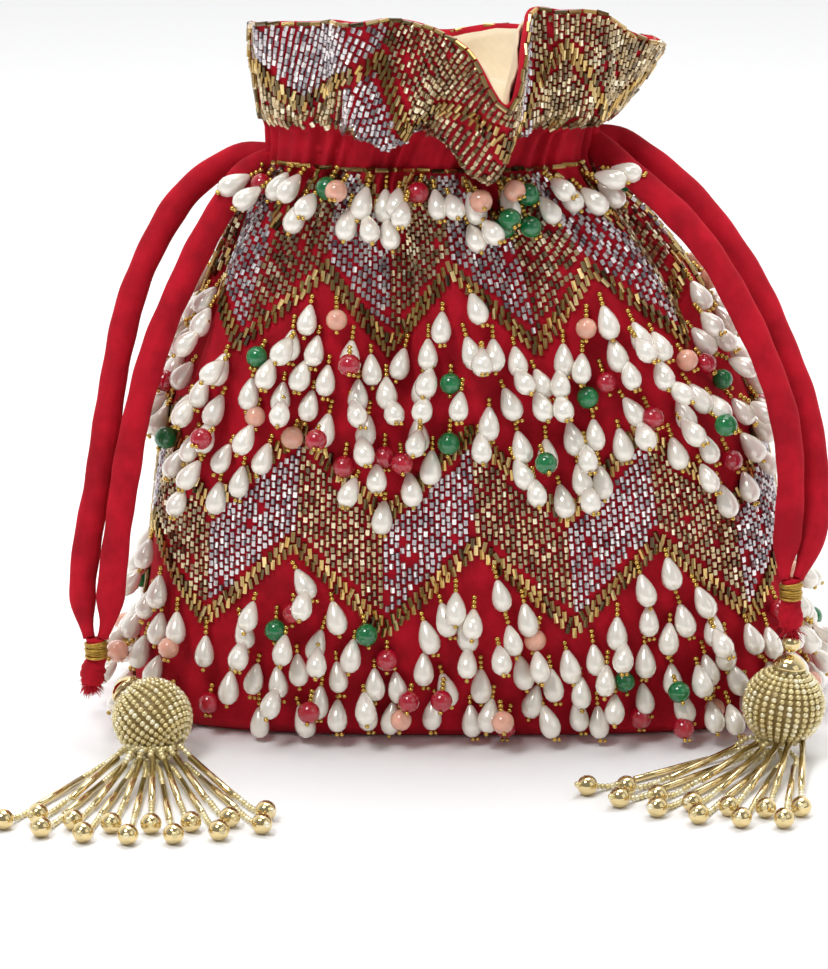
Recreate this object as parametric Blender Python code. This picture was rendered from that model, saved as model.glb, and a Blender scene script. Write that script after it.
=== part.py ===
"""A potli bag: a drawstring pouch of beaded red velvet that stands on a stiffened oval base.

Two velvet panels meet at the side seams, over a lining pouch. A casing round the neck holds two
velvet drawcords, one leaving at each side. Both ends of each cord are bound with gold thread and
carry a bead-covered ball with a fan of beaded strands, which lie on the surface that the bag
stands on. Each ball swivels about the thread that it hangs from.

Metres, +Z up. The origin is the middle of the base's underside, and the front faces -Y.
"""

import math

import bpy
import numpy as np
from mathutils import Vector

MM = 0.001

# The bag's own sections, from the base up: height, half width, half depth, middle in X, squareness.
SECTIONS = (
    (0.0, 96.0, 33.0, 0.0, 2.9),
    (2.5, 99.5, 36.5, 0.0, 2.9),
    (8.0, 101.0, 38.0, 0.0, 2.9),
    (20.0, 99.5, 40.0, 0.0, 2.8),
    (40.0, 95.5, 41.5, -0.5, 2.7),
    (64.0, 92.5, 42.0, -1.5, 2.6),
    (92.0, 87.0, 41.0, -2.5, 2.5),
    (110.0, 80.5, 39.0, -4.0, 2.4),
    (125.0, 75.0, 36.5, -5.0, 2.3),
    (140.0, 68.0, 33.0, -6.5, 2.3),
    (153.0, 59.5, 28.5, -9.0, 2.2),
    (163.0, 50.5, 25.0, -11.5, 2.2),
    (170.0, 49.0, 24.0, -11.8, 2.2),
    (178.0, 49.5, 24.5, -11.5, 2.2),
)
CASING_BOTTOM = 163.0
CASING_TOP = 178.0

# Valleys of the gathered cloth: angle round the bag from the left seam, depth and half width in
# degrees. The front runs from 0 to 180.
VALLEYS = (
    (15.0, 6.0, 8.0),
    (78.0, 10.0, 8.0),
    (108.0, 7.0, 11.0),
    (156.0, 8.0, 9.0),
    (204.0, 7.0, 9.0),
    (238.0, 8.0, 8.0),
    (265.0, 9.0, 9.0),
    (294.0, 8.0, 8.0),
    (326.0, 8.0, 9.0),
)
FOLDS_START = 60.0
FOLDS_FULL = 140.0
CASING_FOLD = 0.15
RUFFLE_FOLD = 0.45
RUFFLE_FOLD_REACH = 14.0

# The ruffle above the casing, round the bag: angle, length of cloth, how far the cloth leans from
# upright at its foot and at its rim in degrees, and how soon one lean turns into the other.
RUFFLE = (
    (0.0, 28.0, 14.0, 3.0, 8.0),
    (36.0, 35.0, 55.0, 4.0, 7.0),
    (54.0, 35.0, 30.0, 6.0, 7.0),
    (67.0, 41.0, 90.0, 8.0, 8.0),
    (81.0, 37.0, 42.0, 8.0, 8.0),
    (99.0, 41.5, 100.0, 24.0, 9.0),
    (110.5, 38.0, 80.0, 58.0, 10.0),
    (119.0, 39.5, 30.0, 14.0, 8.0),
    (130.0, 39.5, 44.0, 8.0, 8.0),
    (143.0, 40.0, 62.0, 8.0, 8.0),
    (160.0, 33.5, 58.0, 20.0, 9.0),
    (180.0, 29.5, 50.0, 32.0, 9.0),
    (200.0, 31.0, 70.0, 30.0, 9.0),
    (218.0, 33.0, 90.0, 30.0, 9.0),
    (240.0, 30.5, 70.0, 32.0, 9.0),
    (266.0, 34.0, 100.0, 34.0, 9.0),
    (294.0, 30.5, 70.0, 34.0, 9.0),
    (322.0, 31.0, 80.0, 24.0, 9.0),
    (344.0, 28.5, 34.0, 2.0, 8.0),
)
RUFFLE_LONGEST = 46

PANEL_COLUMNS = 30
PANEL_ROWS = (0, 2, 8, 20, 42, 68, 92, 112, 128, 142, 153, 163, 170, 178, 184, 191, 200, 211, 224)
PANEL_THICKNESS = 1.5
LINING_GAP = 1.1
LINING_THICKNESS = 0.8
CASING_DEPTH = 4.6
CASING_EASE = 11.5
LINING_FOOT = 3.4
LINING_FLOOR = 1.0
LINING_FOOT_SHARE = (0.985, 0.96, 0.0)
LINING_FLOOR_SHARE = (0.98, 0.95, 0.0)
LINING_ROWS = (8, 20, 42, 68, 92, 112, 128, 142, 153, 163, 170, 178, 184, 191, 200, 211, 222)
SEAM_GAP = 0.004
CORD_SLOT = 0.07

BASE_HALF = (94.6, 31.6)
BASE_THICKNESS = 2.4
BASE_SQUARE = 2.9

CORD_RADIUS = 3.5
CORD_RADIUS_GATHERED = 1.75
CORD_RADIUS_BOUND = 1.4
CORD_TAPER = 14.0
CORD_STEP = 13.0
CORD_STEP_GATHERED = 5.6
CORD_INSET = 3.85
EXIT_ANGLE = 8.0
LEFT_CORD_HEIGHT = 167.5
RIGHT_CORD_HEIGHT = 173.5

# Each cord's two free runs, from the binding up to the side of the casing.
LEFT_BACK_RUN = (
    (-111.5, -45.0, 34.4), (-112.6, -43.0, 38.6), (-113.6, -39.5, 46.0), (-112.4, -35.5, 59.0),
    (-109.6, -30.5, 75.0), (-106.8, -25.5, 92.0), (-103.6, -19.5, 111.5), (-98.7, -12.5, 130.8),
    (-91.8, -6.0, 145.6), (-84.0, -1.0, 156.8), (-74.4, 2.4, 164.2), (-66.5, 4.0, 167.2),
)
LEFT_FRONT_RUN = (
    (-107.5, -45.4, 34.4), (-106.2, -44.8, 38.6), (-105.2, -43.2, 46.0), (-103.8, -39.6, 59.0),
    (-101.4, -35.0, 76.0), (-98.6, -31.0, 92.0), (-94.6, -26.6, 108.0), (-90.0, -21.6, 121.5),
    (-84.4, -17.0, 133.7), (-78.6, -13.4, 145.0), (-72.6, -9.8, 155.0), (-66.4, -6.2, 163.4),
)
RIGHT_FRONT_RUN = (
    (90.2, -50.6, 53.9), (90.2, -49.4, 58.2), (91.2, -46.6, 67.4), (91.8, -42.6, 85.6),
    (89.6, -38.6, 101.0), (84.6, -34.0, 115.3), (77.2, -29.4, 130.4), (68.8, -24.4, 144.2),
    (58.8, -19.4, 155.2), (48.6, -14.4, 163.6), (41.2, -9.0, 169.0),
)
RIGHT_BACK_RUN = (
    (94.2, -49.7, 53.9), (96.0, -47.6, 57.6), (98.9, -42.4, 66.0), (99.8, -36.4, 81.4),
    (97.6, -30.4, 96.6), (92.2, -25.0, 112.7), (84.6, -18.8, 129.4), (75.2, -12.8, 145.0),
    (64.0, -7.0, 157.8), (52.6, -1.6, 167.2), (43.4, 3.0, 172.0),
)

# The bindings, the cords' frayed ends and what hangs from them.
BINDING_RADIUS = 3.4
BINDING_HEIGHT = 4.6
LEFT_BINDING = (-109.5, -45.2, 30.9)
RIGHT_BINDING = (92.2, -50.2, 50.4)
LEFT_FRAY = ((-109.5, -45.2, 27.4), (-110.4, -45.8, 24.6), (-111.4, -46.2, 19.4))
RIGHT_FRAY = ((92.2, -50.2, 47.3), (92.2, -50.8, 42.6), (92.4, -51.4, 38.1))
FRAY_RADII = (2.6, 3.3, 2.4)
RIGHT_BEAD = (92.6, -51.6, 34.8)
RIGHT_BEAD_RADIUS = 2.7
CAP_RADIUS = 5.0
CAP_TOP_RADIUS = 1.5
CAP_LIP = 0.7
CAP_HEIGHT = 3.0
TOUCH_GAP = 0.35

LEFT_PIVOT = (-103.4, -46.0)
LEFT_BALL = (-93.0, -52.6, 12.35)
LEFT_BALL_RADIUS = 12.0
LEFT_BALL_AXIS = (-11.0, 7.5, 9.5)
RIGHT_PIVOT = (92.6, -51.6)
RIGHT_BALL = (90.8, -51.6, 16.0)
RIGHT_BALL_RADIUS = 12.3
RIGHT_BALL_AXIS = (1.4, 0.0, 12.0)

# A tassel's fan of strands: count, then the first and the last one's angle from straight ahead, in
# degrees, and reach. Every other strand is shorter, so that the end balls clear each other.
LEFT_FAN = (14, (-33.0, 34.0), (70.0, 71.0))
RIGHT_FAN = (12, (-61.0, 1.0), (67.0, 58.0))
FAN_STAGGER = 8.5
STRAND_END_RADIUS = 3.0
STRAND_RADIUS = 1.05
STRAND_TIERS = (2.4, 6.6)
STRAND_NEAREST = 8.6
STRAND_SPREAD = 8.4
STRAND_LOW = 1.15
STRAND_KNOTS = (0.0, 0.16, 0.38, 0.64, 0.88)
# The end ball's outline along its strand: place and radius, both in ball radii.
END_BALL = ((-1.0, 0.38), (-0.55, 0.86), (0.0, 0.98), (0.55, 0.86), (1.0, 0.38))
FLOOR_CLEARANCE = 0.05

VELVET = ((0.40, 0.008, 0.016), 0.85, 0.0)
SATIN = ((0.66, 0.50, 0.31), 0.45, 0.0)
GOLD_THREAD = ((0.62, 0.42, 0.12), 0.40, 0.8)
GOLD_BEADS = ((0.75, 0.58, 0.25), 0.15, 1.0)
SEED_BEADS = ((0.70, 0.56, 0.28), 0.30, 0.9)


def material(name, look):
    colour, roughness, metallic = look
    made = bpy.data.materials.new(name)
    made.use_nodes = True
    shader = made.node_tree.nodes["Principled BSDF"]
    shader.inputs["Base Color"].default_value = (*colour, 1.0)
    shader.inputs["Roughness"].default_value = roughness
    shader.inputs["Metallic"].default_value = metallic
    made.diffuse_color = (*colour, 1.0)
    return made


def add(name, data, look, parent=None):
    """Puts a mesh or curve into the scene as one named piece."""
    data.materials.append(look)
    piece = bpy.data.objects.new(name, data)
    bpy.context.scene.collection.objects.link(piece)
    if parent:
        piece.parent = parent
        piece.matrix_parent_inverse = parent.matrix_world.inverted()
    return piece


def mesh_piece(name, points, faces, look, parent=None):
    """A closed mesh from points in millimetres."""
    mesh = bpy.data.meshes.new(name)
    mesh.from_pydata([tuple(p) for p in np.asarray(points) * MM], [], faces)
    mesh.validate()
    mesh.shade_smooth()
    mesh.set_sharp_from_angle(angle=math.radians(50))
    return add(name, mesh, look, parent)


def smooth_through(keys, values, at):
    """Values read from one smooth curve through the (key, value) points."""
    keys, values, at = (np.asarray(a, float) for a in (keys, values, at))
    slopes = np.gradient(values, keys, axis=0)
    i = np.clip(np.searchsorted(keys, at, side="right") - 1, 0, len(keys) - 2)
    span = keys[i + 1] - keys[i]
    u = (at - keys[i]) / span
    if values.ndim > 1:
        span, u = span[:, None], u[:, None]
    blend = u * u * (3 - 2 * u)
    ends = values[i] + (values[i + 1] - values[i]) * blend
    return ends + span * u * (1 - u) * ((1 - u) * slopes[i] - u * slopes[i + 1])


def step(low, high, x):
    u = np.clip((x - low) / (high - low), 0, 1)
    return u * u * (3 - 2 * u)


def outline(section, angles):
    """A squared oval in plan and its outward normals, at angles from the left seam."""
    half_w, half_d, middle, square = section
    c, s = np.cos(angles), np.sin(angles)
    r = (np.abs(c) ** square + np.abs(s) ** square) ** (-1 / square)
    x, y = middle - half_w * r * c, -half_d * r * s
    power = square - 1
    nx = -np.sign(c) * np.abs(r * c) ** power / half_w
    ny = -np.sign(s) * np.abs(r * s) ** power / half_d
    size = np.hypot(nx, ny)
    return np.stack([x, y], -1), np.stack([nx / size, ny / size], -1)


def valley_depth(angles):
    """How far the gathers sink into the bag at each angle, at their fullest."""
    degrees = np.degrees(angles)
    sunk = np.zeros_like(degrees)
    for middle, depth, width in VALLEYS:
        away = (degrees - middle + 180) % 360 - 180
        sunk += depth * np.exp(-((away / width) ** 2))
    return sunk


def ruffle_settings(angles):
    """Length, lean at the foot, lean at the rim and turning length of the ruffle at each angle."""
    rows = np.array(RUFFLE)
    last, first = rows[-2:].copy(), rows[:2].copy()
    last[:, 0] -= 360
    first[:, 0] += 360
    rows = np.concatenate([last, rows, first])
    return smooth_through(rows[:, 0], rows[:, 1:], np.degrees(angles)).T


def body_row(height, angles):
    """Points and outward normals of the velvet's outer face at one height up to the casing."""
    rows = np.array(SECTIONS)
    section = smooth_through(rows[:, 0], rows[:, 1:], np.array([height]))[0]
    plan, normal = outline(section, angles)
    depth = step(FOLDS_START, FOLDS_FULL, height)
    depth *= 1 - (1 - CASING_FOLD) * step(FOLDS_FULL, CASING_BOTTOM, height)
    plan = plan - normal * (valley_depth(angles) * depth)[:, None]
    return np.column_stack([plan, np.full(len(plan), float(height))]), normal


def ruffle_row(along, angles):
    """Points of the ruffle this far up its cloth, which leans out and then turns up."""
    start, normal = body_row(CASING_TOP, angles)
    length, foot, rim, turning = ruffle_settings(angles)
    reach = np.linspace(0, 1, 41)[:, None] * np.minimum(along, length)
    lean = np.radians(rim + (foot - rim) * np.exp(-reach / turning))
    out = np.trapz(np.sin(lean), reach, axis=0)
    up = np.trapz(np.cos(lean), reach, axis=0)
    sunk = valley_depth(angles) * (RUFFLE_FOLD - CASING_FOLD) * step(0, RUFFLE_FOLD_REACH, reach[-1])
    plan = start[:, :2] + normal * (out - sunk)[:, None]
    return np.column_stack([plan, start[:, 2] + up])


def cloth_row(height, angles):
    if height <= CASING_TOP:
        return body_row(height, angles)[0]
    length = ruffle_settings(angles)[0]
    share = (height - CASING_TOP) / RUFFLE_LONGEST
    return ruffle_row(share * length, angles)


def evenly(line, count, first, last):
    """count points along a line, from the first share of its length to the last."""
    run = np.concatenate([[0], np.cumsum(np.linalg.norm(np.diff(line, axis=0), axis=1))])
    at = np.linspace(first, last, count) * run[-1]
    return np.column_stack([np.interp(at, run, line[:, k]) for k in range(3)])


def cloth_half(side, rows, columns, trim):
    """A grid over the front (side 0) or back (side 1), with columns even along the cloth."""
    angles = np.linspace(side * math.pi, (side + 1) * math.pi, 361)
    return np.array([evenly(cloth_row(h, angles), columns, trim(h), 1 - trim(h)) for h in rows])


def inward(grid):
    """Unit directions into the bag over a grid whose columns run round it from the left."""
    up = np.gradient(grid, axis=0)
    along = np.gradient(grid, axis=1)
    normal = np.cross(up, along)
    return normal / np.linalg.norm(normal, axis=2, keepdims=True)


def shell_faces(rows, columns):
    """Faces of a sheet with an outer and an inner grid, closed round its edge."""
    size = rows * columns
    faces = []
    for r in range(rows - 1):
        for c in range(columns - 1):
            a, b = r * columns + c, (r + 1) * columns + c
            faces.append((a, a + 1, b + 1, b))
            faces.append((a + size, b + size, b + 1 + size, a + 1 + size))
    rim = [c for c in range(columns)]
    rim += [r * columns + columns - 1 for r in range(1, rows)]
    rim += [(rows - 1) * columns + c for c in range(columns - 2, -1, -1)]
    rim += [r * columns for r in range(rows - 2, 0, -1)]
    for a, b in zip(rim, rim[1:] + rim[:1]):
        faces.append((b, a, a + size, b + size))
    return faces


def seam_trim(height):
    """Share of a panel's width left open at its side: a slot for the cord in the casing."""
    in_casing = CASING_BOTTOM <= height <= CASING_TOP
    return CORD_SLOT if in_casing else SEAM_GAP


def velvet_panel(name, side, look):
    outer = cloth_half(side, PANEL_ROWS, PANEL_COLUMNS, seam_trim)
    inner = outer + inward(outer) * PANEL_THICKNESS
    inner[0, :, 2] = np.maximum(inner[0, :, 2], 0)
    points = np.concatenate([outer.reshape(-1, 3), inner.reshape(-1, 3)])
    return mesh_piece(name, points, shell_faces(len(PANEL_ROWS), PANEL_COLUMNS), look)


def lining_rings(inset):
    """Closed rings round the bag, this far inside the velvet and further in at the casing."""
    halves = [cloth_half(side, LINING_ROWS, PANEL_COLUMNS, seam_trim) for side in (0, 1)]
    grid = np.concatenate(halves, axis=1)
    wrapped = np.concatenate([grid[:, -1:], grid, grid[:, :1]], axis=1)
    into = inward(wrapped)[:, 1:-1]
    heights = np.array(LINING_ROWS, float)
    casing = step(CASING_BOTTOM - CASING_EASE, CASING_BOTTOM, heights)
    casing *= 1 - step(CASING_TOP, CASING_TOP + CASING_EASE, heights)
    return grid + into * (inset + CASING_DEPTH * casing)[:, None, None]


def lining_pouch(look):
    gap = PANEL_THICKNESS + LINING_GAP
    outer, inner = lining_rings(gap), lining_rings(gap + LINING_THICKNESS)
    foot = outer[0] * LINING_FOOT_SHARE + (0, 0, LINING_FOOT)
    floor = inner[0] * LINING_FLOOR_SHARE + (0, 0, LINING_FOOT + LINING_FLOOR)
    rings = np.concatenate([foot[None], outer, inner[::-1], floor[None]])
    count = rings.shape[1]
    faces = [tuple(range(count))[::-1]]
    for r in range(len(rings) - 1):
        for c in range(count):
            d = (c + 1) % count
            faces.append((r * count + c, r * count + d, (r + 1) * count + d, (r + 1) * count + c))
    last = (len(rings) - 1) * count
    faces.append(tuple(range(last, last + count)))
    return mesh_piece("lining_pouch", rings.reshape(-1, 3), faces, look)


def base_panel(look):
    """The stiffened oval that the bag stands on."""
    angles = np.linspace(0, 2 * math.pi, 73)[:-1]
    plan, _ = outline((*BASE_HALF, 0.0, BASE_SQUARE), angles)
    count = len(plan)
    points = [(x, y, z) for z in (0.0, BASE_THICKNESS) for x, y in plan]
    faces = [tuple(range(count))[::-1], tuple(range(count, 2 * count))]
    for a in range(count):
        b = (a + 1) % count
        faces.append((a, b, b + count, a + count))
    return mesh_piece("base_panel", points, faces, look)


def tube(name, points, radii, look, sides=4, parent=None):
    """A round tube along points, with its own radius at each."""
    curve = bpy.data.curves.new(name, "CURVE")
    curve.dimensions = "3D"
    curve.bevel_depth = MM
    curve.bevel_resolution = sides
    curve.use_fill_caps = True
    line = curve.splines.new("POLY")
    line.points.add(len(points) - 1)
    for knot, place, radius in zip(line.points, points, radii):
        knot.co = (*(np.asarray(place) * MM), 1.0)
        knot.radius = radius
    return add(name, curve, look, parent)


def cord_ring(height, start_angle, end_angle):
    """The cord's way round the neck inside the casing."""
    angles = np.radians(np.linspace(start_angle, end_angle, 37))
    points, normal = body_row(height, angles)
    points[:, :2] -= normal * CORD_INSET
    return [tuple(p) for p in points]


def cord_path(route):
    """Points read from a smooth curve through the route, closer together where it is gathered."""
    route = np.array(route)
    run = np.concatenate([[0], np.cumsum(np.linalg.norm(np.diff(route, axis=0), axis=1))])
    fine = smooth_through(run, route, np.linspace(0, run[-1], 1200))
    length = np.concatenate([[0], np.cumsum(np.linalg.norm(np.diff(fine, axis=0), axis=1))])
    return fine, length


def drawcord(name, up_run, height, angles, down_run, look):
    """One cord: up from its binding, round the neck in the casing and back to the binding."""
    ring = cord_ring(height, *angles)
    fine, length = cord_path([*up_run, *ring, *down_run[::-1]])
    gathered_from = length[np.argmin(np.linalg.norm(fine - ring[0], axis=1))]
    gathered_to = length[np.argmin(np.linalg.norm(fine - ring[-1], axis=1))]
    places = [0.0]
    while places[-1] < length[-1]:
        inside = gathered_from - CORD_TAPER < places[-1] < gathered_to + CORD_TAPER
        places.append(places[-1] + (CORD_STEP_GATHERED if inside else CORD_STEP))
    places = np.array(places) * length[-1] / places[-1]
    points = np.column_stack([np.interp(places, length, fine[:, k]) for k in range(3)])
    outside = np.maximum(gathered_from - places, places - gathered_to)
    radii = CORD_RADIUS_GATHERED + (CORD_RADIUS - CORD_RADIUS_GATHERED) * step(0, CORD_TAPER, outside)
    from_end = np.minimum(places, length[-1] - places)
    bound = step(0, CORD_TAPER, from_end)
    return tube(name, points, CORD_RADIUS_BOUND + (radii - CORD_RADIUS_BOUND) * bound, look, 2)


def turned(name, places, radii, look, sides=16, parent=None):
    """A closed turned solid whose axis runs through places, with a radius at each."""
    axis = Vector(places[-1]) - Vector(places[0])
    turn = axis.to_track_quat("Z", "Y")
    points, faces = [], []
    for place, radius in zip(places, radii):
        for k in range(sides):
            angle = 2 * math.pi * k / sides
            spot = turn @ Vector((radius * math.cos(angle), radius * math.sin(angle), 0))
            points.append(Vector(place) + spot)
    for r in range(len(places) - 1):
        for k in range(sides):
            n = (k + 1) % sides
            faces.append((r * sides + k, r * sides + n, (r + 1) * sides + n, (r + 1) * sides + k))
    last = (len(places) - 1) * sides
    faces += [tuple(range(sides))[::-1], tuple(range(last, last + sides))]
    return mesh_piece(name, points, faces, look, parent)


def ball(name, centre, radius, axis, look, sides=18, rings=9, parent=None):
    """A round ball whose poles lie on its axis."""
    along = Vector(axis).normalized()
    tilts = [math.pi * (k + 0.5) / rings for k in range(rings)]
    places = [Vector(centre) - along * radius * math.cos(t) for t in tilts]
    return turned(name, places, [radius * math.sin(t) for t in tilts], look, sides, parent)


def cap(name, centre, radius, axis, look, parent):
    """A small dished cap on the ball's upper pole."""
    along = Vector(axis).normalized()
    heights = (0.0, CAP_LIP, CAP_HEIGHT)
    places = [Vector(centre) + along * (radius + TOUCH_GAP + h) for h in heights]
    return turned(name, places, (CAP_RADIUS, CAP_RADIUS, CAP_TOP_RADIUS), look, 12, parent)


def strand_path(centre, radius, toward, aside, upper, end):
    """A strand from beside the ball, down and along the floor to its end ball, with its radii."""
    height = STRAND_TIERS[upper]
    under = centre[2] - height
    beside = math.sqrt(max(radius**2 - under**2, 0)) + STRAND_RADIUS + TOUCH_GAP
    beside = max(beside, STRAND_NEAREST)
    ahead = math.sqrt(max(beside**2 - aside**2, 0))
    start = Vector(centre[:2]) + toward * ahead + Vector((-toward.y, toward.x)) * aside
    run = Vector(end) - start
    along = run.normalized()
    points, radii = [], []
    for share in STRAND_KNOTS:
        spot = start + run * share
        fall = (1 - share) ** 2
        points.append((spot.x, spot.y, STRAND_LOW + (height - STRAND_LOW) * fall))
        radii.append(STRAND_RADIUS)
    for ahead, size in END_BALL:
        spot = Vector(end) + along * ahead * STRAND_END_RADIUS
        points.append((spot.x, spot.y, STRAND_END_RADIUS + FLOOR_CLEARANCE))
        radii.append(size * STRAND_END_RADIUS)
    return points, radii


def fan_ends(centre, fan):
    """Where each strand's end ball touches down, from left to right."""
    count, angles, reaches = fan
    ends = []
    for index, share in enumerate(np.linspace(0, 1, count)):
        angle = math.radians(angles[0] + (angles[1] - angles[0]) * share)
        reach = reaches[0] + (reaches[1] - reaches[0]) * share - FAN_STAGGER * (index % 2)
        ends.append((centre[0] + reach * math.sin(angle), centre[1] - reach * math.cos(angle)))
    return ends


def tassel(side, centre, radius, axis, pivot, fan, gold, beads):
    """Cap, ball and strands under an empty on the thread that they swivel about."""
    hook = bpy.data.objects.new(side + "_tassel_pivot", None)
    hook.location = Vector((*pivot, centre[2])) * MM
    bpy.context.scene.collection.objects.link(hook)
    bpy.context.view_layer.update()
    cap(side + "_tassel_cap", centre, radius, axis, gold, hook)
    ball(side + "_tassel_ball", centre, radius, axis, beads, parent=hook)
    ends = fan_ends(centre, fan)
    toward = Vector(np.mean(ends, axis=0)) - Vector(centre[:2])
    toward.normalize()
    for index, end in enumerate(ends):
        aside = (index / (len(ends) - 1) - 0.5) * 2 * STRAND_SPREAD
        path, radii = strand_path(centre, radius, toward, aside, index % 2, end)
        tube(f"{side}_strand_{index + 1:02d}", path, radii, beads, 1, hook)
    return hook


def build():
    for old in list(bpy.data.objects):
        bpy.data.objects.remove(old, do_unlink=True)
    velvet = material("red velvet", VELVET)
    satin = material("beige satin", SATIN)
    thread = material("gold thread", GOLD_THREAD)
    gold = material("polished gold beads", GOLD_BEADS)
    seeds = material("gold seed beads", SEED_BEADS)

    velvet_panel("front_panel", 0, velvet)
    velvet_panel("back_panel", 1, velvet)
    base_panel(velvet)
    lining_pouch(satin)

    around = (180 + EXIT_ANGLE, 180 + 360 - EXIT_ANGLE)
    drawcord("left_drawcord", LEFT_FRONT_RUN, LEFT_CORD_HEIGHT, (EXIT_ANGLE, 360 - EXIT_ANGLE),
             LEFT_BACK_RUN, velvet)
    drawcord("right_drawcord", RIGHT_BACK_RUN, RIGHT_CORD_HEIGHT, around, RIGHT_FRONT_RUN, velvet)
    for side, binding, fray in (("left", LEFT_BINDING, LEFT_FRAY), ("right", RIGHT_BINDING, RIGHT_FRAY)):
        half = Vector((0, 0, BINDING_HEIGHT / 2))
        ends = (Vector(binding) - half, Vector(binding), Vector(binding) + half)
        turned(side + "_cord_binding", ends, (BINDING_RADIUS, BINDING_RADIUS, BINDING_RADIUS), thread)
        turned(side + "_cord_fray", fray, FRAY_RADII, velvet, 10)

    tassel("left", LEFT_BALL, LEFT_BALL_RADIUS, LEFT_BALL_AXIS, LEFT_PIVOT, LEFT_FAN, gold, seeds)
    hook = tassel("right", RIGHT_BALL, RIGHT_BALL_RADIUS, RIGHT_BALL_AXIS, RIGHT_PIVOT,
                  RIGHT_FAN, gold, seeds)
    ball("right_thread_bead", RIGHT_BEAD, RIGHT_BEAD_RADIUS, (0, 0, 1), gold, 12, 6, hook)


build()
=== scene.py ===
"""The looks of a potli bag: a gathered velvet pouch sewn all over with glass beads and pearls.

Its two velvet sides carry zigzag bands of silver and gold glass beads between borders of bugle
beads, and rows of hanging pearls and stone beads. Two velvet drawcords leave the casing, each with
its ends bound in gold thread over a beaded ball and a fan of beaded strands.

Lengths are in millimetres in the tables and functions, and in metres in the scene.
"""

import math

import bpy
import numpy as np
from bpy.props import FloatProperty, FloatVectorProperty, IntProperty, PointerProperty
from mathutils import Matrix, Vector


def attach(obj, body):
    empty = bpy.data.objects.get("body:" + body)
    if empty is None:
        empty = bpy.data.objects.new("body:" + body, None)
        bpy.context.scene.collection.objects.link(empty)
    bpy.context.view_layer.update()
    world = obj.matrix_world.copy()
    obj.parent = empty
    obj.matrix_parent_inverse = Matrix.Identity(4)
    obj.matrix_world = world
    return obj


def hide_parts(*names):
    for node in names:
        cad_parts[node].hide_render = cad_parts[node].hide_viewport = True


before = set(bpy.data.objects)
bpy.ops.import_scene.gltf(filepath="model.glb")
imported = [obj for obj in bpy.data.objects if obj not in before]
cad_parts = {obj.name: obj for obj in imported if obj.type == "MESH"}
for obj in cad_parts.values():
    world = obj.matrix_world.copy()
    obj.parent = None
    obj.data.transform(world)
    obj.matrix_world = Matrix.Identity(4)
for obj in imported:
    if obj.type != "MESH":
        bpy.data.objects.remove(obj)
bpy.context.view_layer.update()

bl_info = {
    "name": "Potli Bag",
    "version": (1, 0, 0),
    "blender": (4, 5, 0),
    "location": "View3D > Sidebar > Potli Bag",
    "description": "Builds a beaded velvet potli bag with its drawcords and tassels",
    "category": "Object",
}

MM = 0.001
CHANCE = np.random.default_rng(7)

# The bag's own sections, from the base up: height, half width, half depth, middle in X, squareness.
SECTIONS = (
    (0.0, 96.0, 33.0, 0.0, 2.9),
    (2.5, 99.5, 36.5, 0.0, 2.9),
    (8.0, 101.0, 38.0, 0.0, 2.9),
    (20.0, 99.5, 40.0, 0.0, 2.8),
    (40.0, 95.5, 41.5, -0.5, 2.7),
    (64.0, 92.5, 42.0, -1.5, 2.6),
    (92.0, 87.0, 41.0, -2.5, 2.5),
    (110.0, 80.5, 39.0, -4.0, 2.4),
    (125.0, 75.0, 36.5, -5.0, 2.3),
    (140.0, 68.0, 33.0, -6.5, 2.3),
    (153.0, 59.5, 28.5, -9.0, 2.2),
    (163.0, 50.5, 25.0, -11.5, 2.2),
    (170.0, 49.0, 24.0, -11.8, 2.2),
    (178.0, 49.5, 24.5, -11.5, 2.2),
)
CASING_BOTTOM = 163.0
CASING_TOP = 178.0

# Valleys of the gathered cloth: angle round the bag from the left seam, depth and half width in
# degrees. The front runs from 0 to 180.
VALLEYS = (
    (15.0, 6.0, 8.0),
    (78.0, 10.0, 8.0),
    (108.0, 7.0, 11.0),
    (156.0, 8.0, 9.0),
    (204.0, 7.0, 9.0),
    (238.0, 8.0, 8.0),
    (265.0, 9.0, 9.0),
    (294.0, 8.0, 8.0),
    (326.0, 8.0, 9.0),
)
FOLDS_START = 60.0
FOLDS_FULL = 140.0
CASING_FOLD = 0.15
RUFFLE_FOLD = 0.45
RUFFLE_FOLD_REACH = 14.0

# The ruffle above the casing, round the bag: angle, length of cloth, how far the cloth leans from
# upright at its foot and at its rim in degrees, and how soon one lean turns into the other.
RUFFLE = (
    (0.0, 28.0, 14.0, 3.0, 8.0),
    (36.0, 35.0, 55.0, 4.0, 7.0),
    (54.0, 35.0, 30.0, 6.0, 7.0),
    (67.0, 41.0, 90.0, 8.0, 8.0),
    (81.0, 37.0, 42.0, 8.0, 8.0),
    (99.0, 41.5, 100.0, 24.0, 9.0),
    (110.5, 38.0, 80.0, 58.0, 10.0),
    (119.0, 39.5, 30.0, 14.0, 8.0),
    (130.0, 39.5, 44.0, 8.0, 8.0),
    (143.0, 40.0, 62.0, 8.0, 8.0),
    (160.0, 33.5, 58.0, 20.0, 9.0),
    (180.0, 29.5, 50.0, 32.0, 9.0),
    (200.0, 31.0, 70.0, 30.0, 9.0),
    (218.0, 33.0, 90.0, 30.0, 9.0),
    (240.0, 30.5, 70.0, 32.0, 9.0),
    (266.0, 34.0, 100.0, 34.0, 9.0),
    (294.0, 30.5, 70.0, 34.0, 9.0),
    (322.0, 31.0, 80.0, 24.0, 9.0),
    (344.0, 28.5, 34.0, 2.0, 8.0),
)
RUFFLE_LONGEST = 46

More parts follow.
